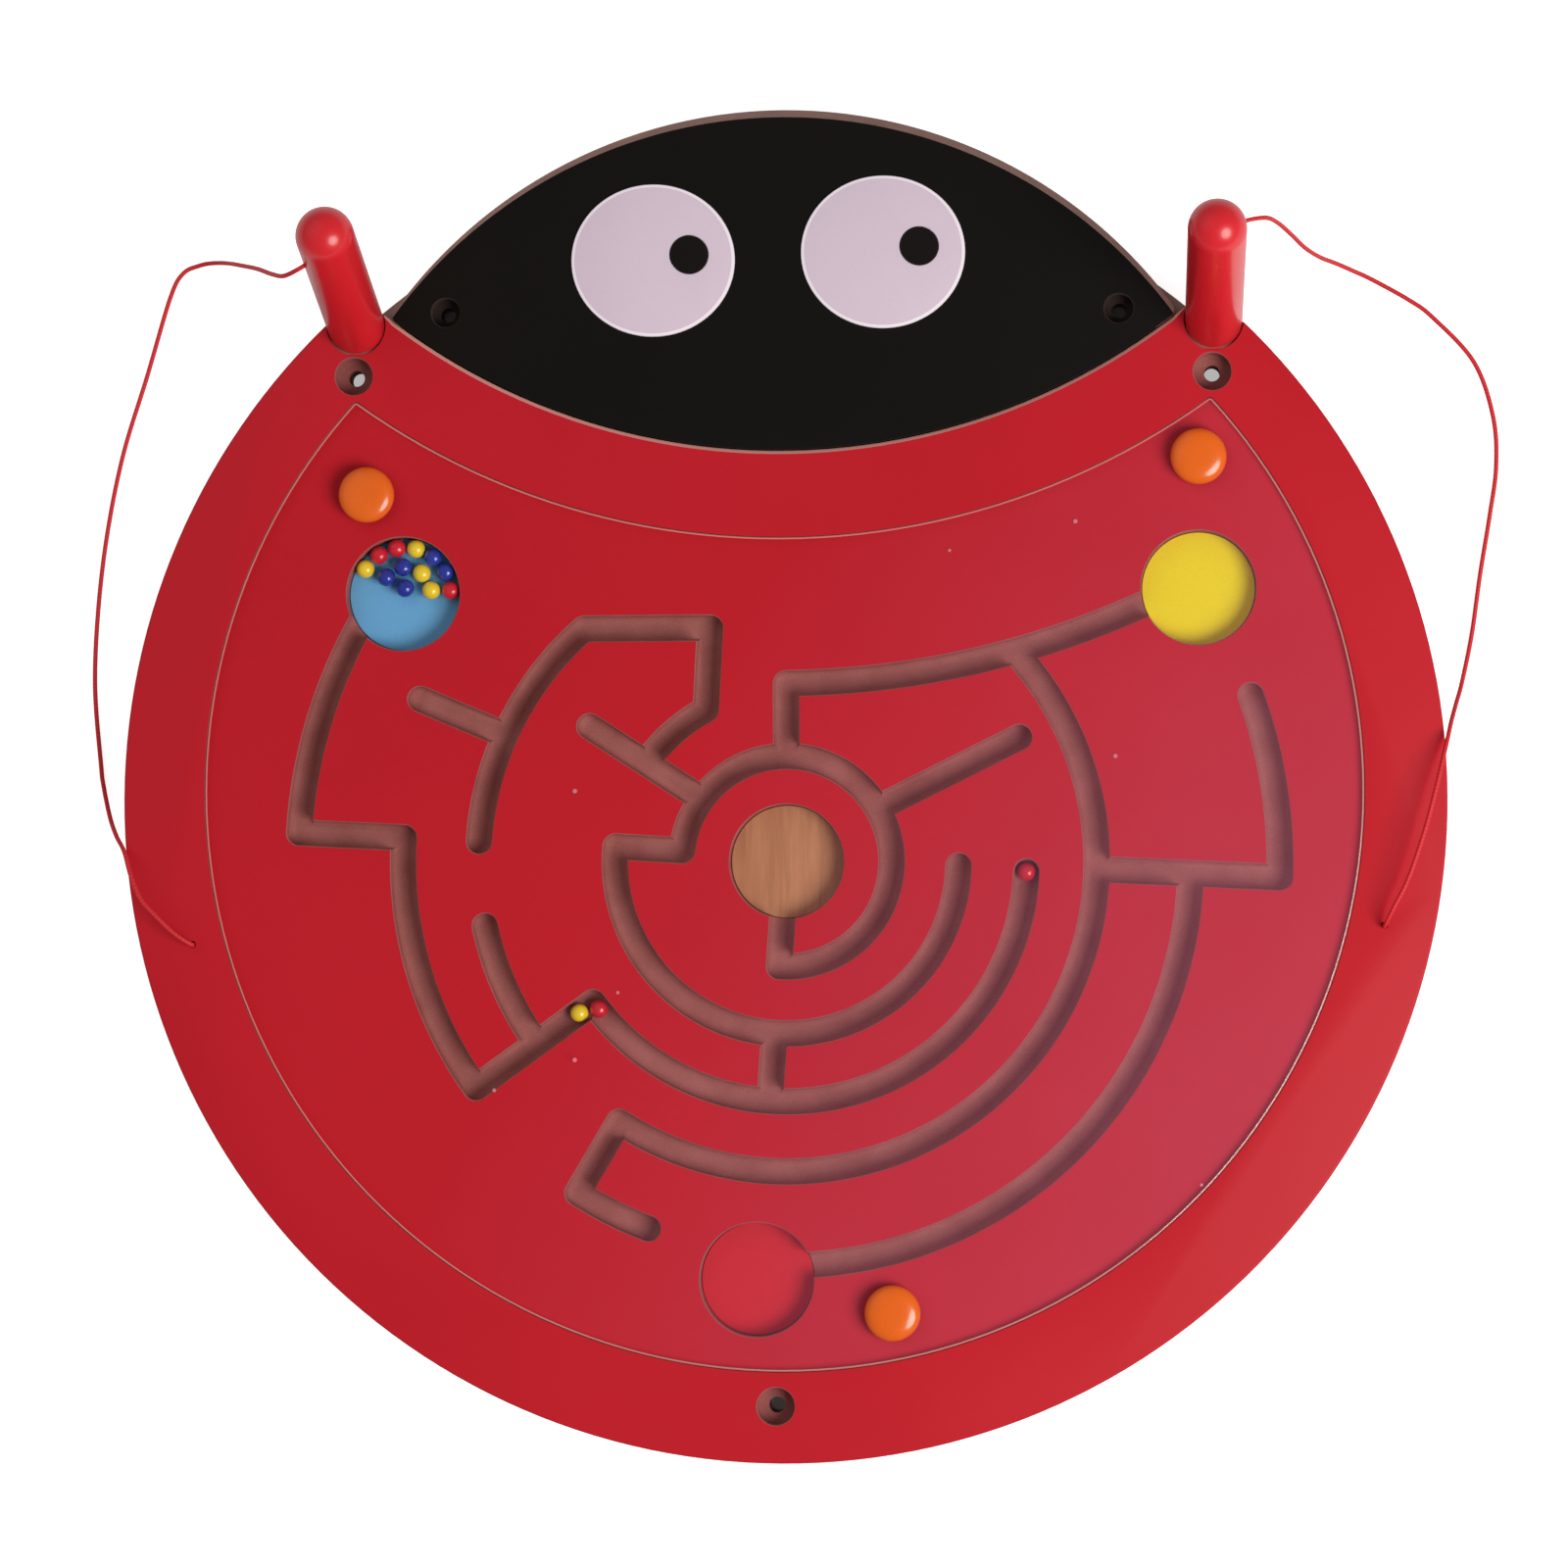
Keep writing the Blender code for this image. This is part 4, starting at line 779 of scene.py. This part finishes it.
def groove_tools():
    """Everything that the router clears in the maze, one solid for each run and turn.

    A turn rounds the corner where a straight run starts or ends, if a third run or an arc goes on from there."""
    section = router_section()
    bit = turned("router_bit", bit_rings(), sides=40)

    def spot(share, degrees):
        return MAZE + polar(share * COVER_RADIUS, degrees)

    def turn_at(place):
        made = copy_of(bit)
        made.location = (place.x, place.y, 0)
        bpy.ops.object.transform_apply(location=True)
        return made

    tools = []
    for ends, runs in GROOVES:
        here = None
        curved = False
        for share, start, end in runs:
            first = spot(share, start)
            if here is not None:
                tools.append(straight_run(section, here, first))
                tools.append(turn_at(first))
                if len(runs) > 2 or curved:
                    tools.append(turn_at(here))
            if start != end:
                tools.append(round_run(section, MAZE, share * COVER_RADIUS, start, end))
            here = spot(share, end)
            curved = start != end
        if ends == "round_end":
            tools.append(turn_at(here))
        if ends == "round_start":
            tools.append(turn_at(spot(*runs[0][:2])))
    foot = spot(INNER, 90)
    low = angle_of(foot - NECK)
    corner = NECK + polar(TOP_RUN_RADIUS, low)
    tools += [straight_run(section, foot, corner), turn_at(corner),
              round_run(section, NECK, TOP_RUN_RADIUS, low, TOP_RUN_END)]
    for tool in (section, bit):
        bpy.data.objects.remove(tool)
    return tools


def bore(radius, low, high, place, sides=32):
    return turned("bore", [(radius, low), (radius, high)], (place[0], place[1], 0), sides)


def fixing_bore(radii, place):
    """Counterbored hole for a wall screw."""
    hole, head = radii
    ledge = FACE_Z - BORE_DEPTH
    rings = [(hole, -CLEAR), (hole, ledge), (head, ledge), (head, FACE_Z - BORE_LIP), (head + BORE_LIP, FACE_Z),
             (head + BORE_LIP, FACE_Z + CLEAR)]
    return turned("fixing_bore", rings, (place[0], place[1], 0), 64)


def back_pilots(board):
    """Holes for the back screws of one board."""
    return [bore(PILOT_RADIUS, BOARD_Z - CLEAR, BACK_PILOT_Z, place)
            for name, place in BACK_SCREWS.items() if board in name]


# The boards

def make_body_board():
    board = plate("painted_body", crescent(BODY, BODY_RADIUS, NECK_RADIUS, BODY_CORNER), BOARD_Z, FACE_Z)
    ease(board, FACE_Z, RIM_EASE, lambda end: end.xy.length > BODY_RADIUS - 0.005)
    ease(board, FACE_Z, NECK_EASE, lambda end: (end.xy - NECK).length < NECK_RADIUS + 0.0005, 1)
    rebate = crescent(COVER, COVER_RADIUS + SEAT_GAP, BROW_RADIUS - SEAT_GAP, COVER_CORNER)
    carve(board, [plate("rebate", rebate, REBATE_Z, FACE_Z + CLEAR)])

    tools = groove_tools()
    rings = [(WELL_RADIUS, WELL_Z), (WELL_RADIUS, REBATE_Z - LIP), (WELL_RADIUS + LIP, REBATE_Z),
             (WELL_RADIUS + LIP, REBATE_Z + CLEAR)]
    tools += [turned("well_bore", rings, (*place, 0), 120) for place in WELLS.values()]
    carve(board, tools)

    tools = [fixing_bore(BODY_FIXING, place) for place in FIXINGS]
    tools += [bore(PILOT_RADIUS, COVER_PILOT_Z, REBATE_Z + CLEAR, place) for place in CAPS.values()]
    tools += back_pilots("body")
    pocket, depth = KNOT_POCKET
    rings = [(pocket, BOARD_Z - CLEAR), (pocket, BOARD_Z + depth), (CORD_HOLE_RADIUS, BOARD_Z + depth),
             (CORD_HOLE_RADIUS, FACE_Z + CLEAR)]
    tools += [turned("cord_bore", rings, (*place, 0), 32) for place in CORD_HOLES.values()]
    tools += [turned("wand_socket", WAND_SOCKET, place, 64, lean=WAND_LEAN) for place, _ in WANDS.values()]
    carve(board, tools)
    # The pale colour given for the neck's eased edge is a painted highlight.
    finish = board_finish("red_board", srgb(194, 30, 42), srgb(188, 27, 39), srgb(171, 104, 99), srgb(155, 90, 85),
                          (FACE_Z, REBATE_Z), 0.4, rim=PAINTED_RIM, pale=srgb(230, 160, 150))
    stand_for(board, "body_board", finish)


def make_head_board():
    board = plate("black_head", lens(HEAD, HEAD_RADIUS, NECK_RADIUS - HEAD_GAP, HEAD_CORNER), BOARD_Z, FACE_Z)
    reach = HEAD_RADIUS + 0.00002
    foot = FACE_Z - HEAD_RIM_HEIGHT
    lean = turned("lean", [(reach, BOARD_Z - CLEAR), (reach, foot)], (HEAD.x, HEAD.y, 0), 360)
    edit(lean)
    select_points(lean, lambda point: point.z > foot - 0.0001)
    bpy.ops.mesh.extrude_region_move(TRANSFORM_OT_translate={"value": (0, -HEAD_RIM_LEAN, HEAD_RIM_HEIGHT)})
    bpy.ops.mesh.extrude_region_move(TRANSFORM_OT_translate={"value": (0, 0, CLEAR)})
    leave()
    carve(board, [lean], "INTERSECT")

    tools = [fixing_bore(HEAD_FIXING, place) for place in HEAD_FIXINGS]
    tools += back_pilots("head")
    wide, high = EYE_WIDE + SEAT_GAP, EYE_HIGH + SEAT_GAP
    rings = [(wide, FACE_Z - EYE_POCKET), (wide, FACE_Z + CLEAR)]
    tools += [turned("eye_pocket", rings, (*place, 0), 128, high / wide) for place in EYES.values()]
    carve(board, tools)
    # The last colour darkens the raw board of the head's holes.
    finish = board_finish("black_board", srgb(17, 14, 10), srgb(12, 10, 8), srgb(174, 133, 123), srgb(156, 117, 107),
                          (FACE_Z,), 0.45, darker_in_head=srgb(58, 46, 42))
    stand_for(board, "head_board", finish)


def make_eyes():
    eye = eye_finish()
    pupil = plain_finish("pupil_black", srgb(22, 18, 16), srgb(17, 14, 13), 0.4, shine=0.15)
    low = FACE_Z - EYE_POCKET + SEAT_GAP
    top = low + 0.0022
    eye_rings = [(EYE_WIDE, low), (EYE_WIDE, top - 0.0007), (EYE_WIDE - 0.0002, top - 0.0003),
                 (EYE_WIDE - 0.0014, top)]
    dot = top - 0.0005
    dot_rings = [(PUPIL_RADIUS, dot), (PUPIL_RADIUS, dot + 0.0008), (PUPIL_RADIUS - 0.0002, dot + 0.001)]
    for side, place in EYES.items():
        white = turned(side + "_eye_disc", eye_rings, (*place, 0), 128, EYE_HIGH / EYE_WIDE)
        spot = (place[0] + PUPIL_OFFSET[0], place[1] + PUPIL_OFFSET[1])
        carve(white, [bore(PUPIL_RADIUS + SEAT_GAP, dot - SEAT_GAP, top + CLEAR, spot, 64)])
        stand_for(white, side + "_eye", eye)
        stand_for(turned(side + "_pupil_disc", dot_rings, (*spot, 0), 64), side + "_pupil", pupil)


def make_back():
    body_edge, head_edge = BODY_RADIUS - BACK_INSET, HEAD_RADIUS - BACK_INSET
    low = meeting(BODY, body_edge, HEAD, head_edge)
    arcs = [(BODY, body_edge, 180 - angle_of(low), 360 + angle_of(low)),
            (HEAD, head_edge, angle_of(low - HEAD), 180 - angle_of(low - HEAD))]
    board = plate("plain_back", arcs, 0, BACK_THICKNESS)
    above = BACK_THICKNESS + CLEAR
    tools = [bore(BODY_FIXING[0], -CLEAR, above, place) for place in FIXINGS]
    tools += [bore(HEAD_FIXING[0], -CLEAR, above, place) for place in HEAD_FIXINGS]
    rings = [(0.0041, -CLEAR), (0.0041, SCREW_SUNK), (PILOT_RADIUS, SCREW_NECK), (PILOT_RADIUS, above)]
    tools += [turned("screw_bore", rings, (*place, 0), 32) for place in BACK_SCREWS.values()]
    carve(board, tools)
    raw = plain_finish("raw_back", srgb(196, 164, 150), srgb(180, 148, 134), BARE_ROUGHNESS, 20.0, 1500.0, 0.5, 0.2)
    stand_for(board, "back_panel", raw)


def make_back_screws(steel):
    """Countersunk screws with a cross recess."""
    rings = [(0.0037, SCREW_SUNK), (0.0018, SCREW_NECK), (0.0018, 0.0136), (0.0006, 0.0145)]
    master = turned("back_screw", rings, sides=32)
    tools = []
    for turn in (0, 90):
        bpy.ops.mesh.primitive_cube_add(size=1, location=(0, 0, 0.0007))
        blade = bpy.context.object
        blade.scale = (0.0036, 0.0008, 0.0018)
        bpy.ops.object.transform_apply(location=True, rotation=True, scale=True)
        edit(blade)
        select_points(blade, lambda point: point.z > 0.001)
        bpy.ops.transform.resize(value=(0.4, 0.6, 1))
        tools.append(leave(turn=turn))
    carve(master, tools)
    for name, place in BACK_SCREWS.items():
        made = copy_of(master)
        made.name = "steel_" + name
        made.location = (*place, 0)
        bpy.ops.object.transform_apply(location=True)
        stand_for(made, name, steel)
    bpy.data.objects.remove(master)


# Cover, wells and caps

def make_cover():
    sheet = plate("clear_sheet", crescent(COVER, COVER_RADIUS, BROW_RADIUS, COVER_CORNER), COVER_Z, FACE_Z)
    ease(sheet, FACE_Z, COVER_EASE)
    carve(sheet, [bore(PILOT_RADIUS, COVER_Z - CLEAR, FACE_Z + CLEAR, place) for place in CAPS.values()])
    stand_for(sheet, "cover_sheet", cover_finish(), angle=25)


def make_well_discs():
    finishes = {
        "blue": plain_finish("blue_well", srgb(110, 176, 220), srgb(103, 165, 211), 0.5, shine=0.2),
        "yellow": plain_finish("yellow_well", srgb(242, 224, 24), srgb(238, 216, 20), 0.5, shine=0.2),
        "red": plain_finish("red_well", srgb(210, 36, 46), srgb(202, 31, 42), 0.45, shine=0.2),
        "wood": wood_finish("veneer", srgb(190, 129, 88), srgb(170, 111, 72), (230, 20, 50), 0.5),
    }
    wide = WELL_RADIUS - SEAT_GAP
    rings = [(wide, WELL_Z + SEAT_GAP), (wide, GROOVE_Z - 0.0002), (wide - 0.0002, GROOVE_Z)]
    for name, place in WELLS.items():
        stand_for(turned(name + "_floor", rings, (*place, 0), 120), name + "_well_disc", finishes[name])


def dome(radius, height, base, steps):
    """Rings of a dome from its rim to its top."""
    turns = [math.pi / 2 * i / steps for i in range(steps)]
    return [(radius * math.cos(t), base + height * math.sin(t)) for t in turns] + [(radius * 0.01, base + height)]


def button(radius, height, base, steps):
    """Rings of a flat-topped dome with a full shoulder."""
    turns = [math.pi / 2 * i / steps for i in range(steps)]
    rings = [(radius * math.cos(t) ** 0.6, base + height * math.sin(t) ** 0.8) for t in turns]
    return rings + [(radius * 0.01, base + height)]


def make_caps():
    glossy = plain_finish("orange_cap", srgb(238, 108, 18), srgb(232, 99, 14), 0.24, relief=0.03, coat=0.3)
    plain = plain_finish("orange_washer", srgb(222, 100, 24), srgb(214, 92, 20), 0.35)
    seat = FACE_Z + SEAT_GAP
    shoulder = seat + 0.0012
    hollow = CAP_RADIUS - 0.0014
    foot = [(hollow, seat), (CAP_RADIUS - 0.0001, seat), (CAP_RADIUS, seat + 0.0002)]
    rings = button(hollow, 0.0034, shoulder, 8)[::-1] + foot + button(CAP_RADIUS, 0.005, shoulder, 16)
    for side, place in CAPS.items():
        stand_for(turned(side + "_dome_cap", rings, (*place, 0), 64), side + "_cap", glossy)
    dress([side + "_cap_washer" for side in CAPS], plain)


# Wands and beads

def make_wands():
    lacquer = plain_finish("red_lacquer", srgb(222, 35, 45), srgb(214, 29, 40), 0.3, relief=0.03, coat=0.12)
    pocket = 0.0035
    floor = 0.0043 - WAND_NOSE
    nose = [(0.0001, floor), (pocket, floor), (pocket, -WAND_NOSE), (0.0042, -WAND_NOSE), (0.005, 0.0008 - WAND_NOSE)]
    foot = [(0.005, SEAT_GAP), (0.0110, SEAT_GAP), (0.0117, 0.00045), (0.0123, 0.00095), (WAND_RADIUS, 0.0018)]
    rings = nose + foot + [(WAND_RADIUS, 0.06)] + dome(WAND_RADIUS, WAND_RADIUS, WAND_LENGTH - WAND_RADIUS, 16)
    for side, (place, turn) in WANDS.items():
        wand = turned(side + "_handle", rings, sides=72)
        way = polar(WAND_RADIUS, turn)
        bpy.ops.mesh.primitive_cylinder_add(radius=CORD_HOLE_RADIUS, depth=0.016, vertices=24,
                                            location=(way.x, way.y, CORD_HOLE_HEIGHT),
                                            rotation=(0, math.radians(90), math.radians(turn)))
        bpy.ops.object.transform_apply(location=True, rotation=True)
        carve(wand, [bpy.context.object])
        edit(wand)
        leave(place, lean=WAND_LEAN)
        stand_for(wand, side + "_wand", lacquer, side + "_wand_body", 30)


def make_beads():
    """Balls blown up from a cube, so that they have no poles."""
    bpy.ops.mesh.primitive_cube_add(size=BEAD_RADIUS)
    master = bpy.context.object
    edit(master)
    bpy.ops.mesh.subdivide(number_cuts=9)
    bpy.ops.transform.tosphere(value=1)
    bpy.ops.object.mode_set(mode="OBJECT")
    size = BEAD_RADIUS / master.data.vertices[0].co.length
    master.scale = (size, size, size)
    bpy.ops.object.transform_apply(scale=True)
    finishes = {}
    for name, shade, other in (("yellow", (244, 212, 50), (236, 200, 40)), ("red", (216, 36, 54), (204, 28, 46)),
                               ("blue", (42, 60, 164), (32, 48, 146))):
        finishes[name] = plain_finish(name + "_enamel", srgb(*shade), srgb(*other), 0.22, 60, coat=0.3, relief=0.02)
    for name in sorted(name for name in NODES if "_bead_" in name):
        low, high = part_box(name)
        made = copy_of(master)
        made.name = name.replace("bead", "ball")
        made.location = [(a + b) / 2 for a, b in zip(low, high)]
        bpy.ops.object.transform_apply(location=True)
        stand_for(made, name, finishes[name.split("_")[0]], name + "_body", 60)
    bpy.data.objects.remove(master)


# Cords

def smooth_line(route):
    """Points on a smooth curve through the route's own points."""
    spots = [Vector(p) for p in route]
    spots = [2 * spots[0] - spots[1]] + spots + [2 * spots[-1] - spots[-2]]
    line = []
    for a, b, c, d in zip(spots, spots[1:], spots[2:], spots[3:]):
        parts = max(2, round((c - b).length / CORD_STEP))
        for i in range(parts):
            t = i / parts
            line.append(0.5 * (2 * b + (c - a) * t + (2 * a - 5 * b + 4 * c - d) * t ** 2
                               + (3 * b - a - 3 * c + d) * t ** 3))
    return line + [spots[-2]]


def make_cords():
    finish = braid_finish()
    for side, route in CORD_ROUTES.items():
        line = smooth_line(route)
        curve = bpy.data.curves.new(side + "_braid", "CURVE")
        curve.dimensions = "3D"
        curve.bevel_depth = CORD_DIAMETER / 2
        curve.bevel_resolution = 3
        curve.use_fill_caps = True
        spline = curve.splines.new("POLY")
        spline.points.add(len(line) - 1)
        for spot, point in zip(line, spline.points):
            point.co = (*spot, 1)
        cord = bpy.data.objects.new(side + "_braid", curve)
        bpy.context.scene.collection.objects.link(cord)
        pick(cord)
        bpy.ops.object.convert(target="MESH")
        cord = bpy.context.object
        bpy.ops.object.shade_smooth()
        cord.data.materials.clear()
        cord.data.materials.append(finish)
        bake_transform(cord)
        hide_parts(side + "_cord")
        deselect()
    dress(["left_cord_knot", "right_cord_knot"],
          plain_finish("red_knot", srgb(204, 34, 44), srgb(176, 22, 32), 0.7, 400, 3000, 0.5, 0.4))


studio()
make_cords()
make_body_board()
make_head_board()
make_eyes()
make_back()
make_cover()
make_well_discs()
make_caps()
make_wands()
make_beads()
steel = plain_finish("zinc_steel", srgb(182, 182, 180), srgb(156, 156, 156), 0.35, 200, metallic=1.0)
make_back_screws(steel)
dress([side + "_cover_screw" for side in CAPS], steel)
dress(["left_wand_magnet", "right_wand_magnet"],
      plain_finish("nickel", srgb(202, 200, 194), srgb(184, 182, 176), 0.2, 200, metallic=1.0))
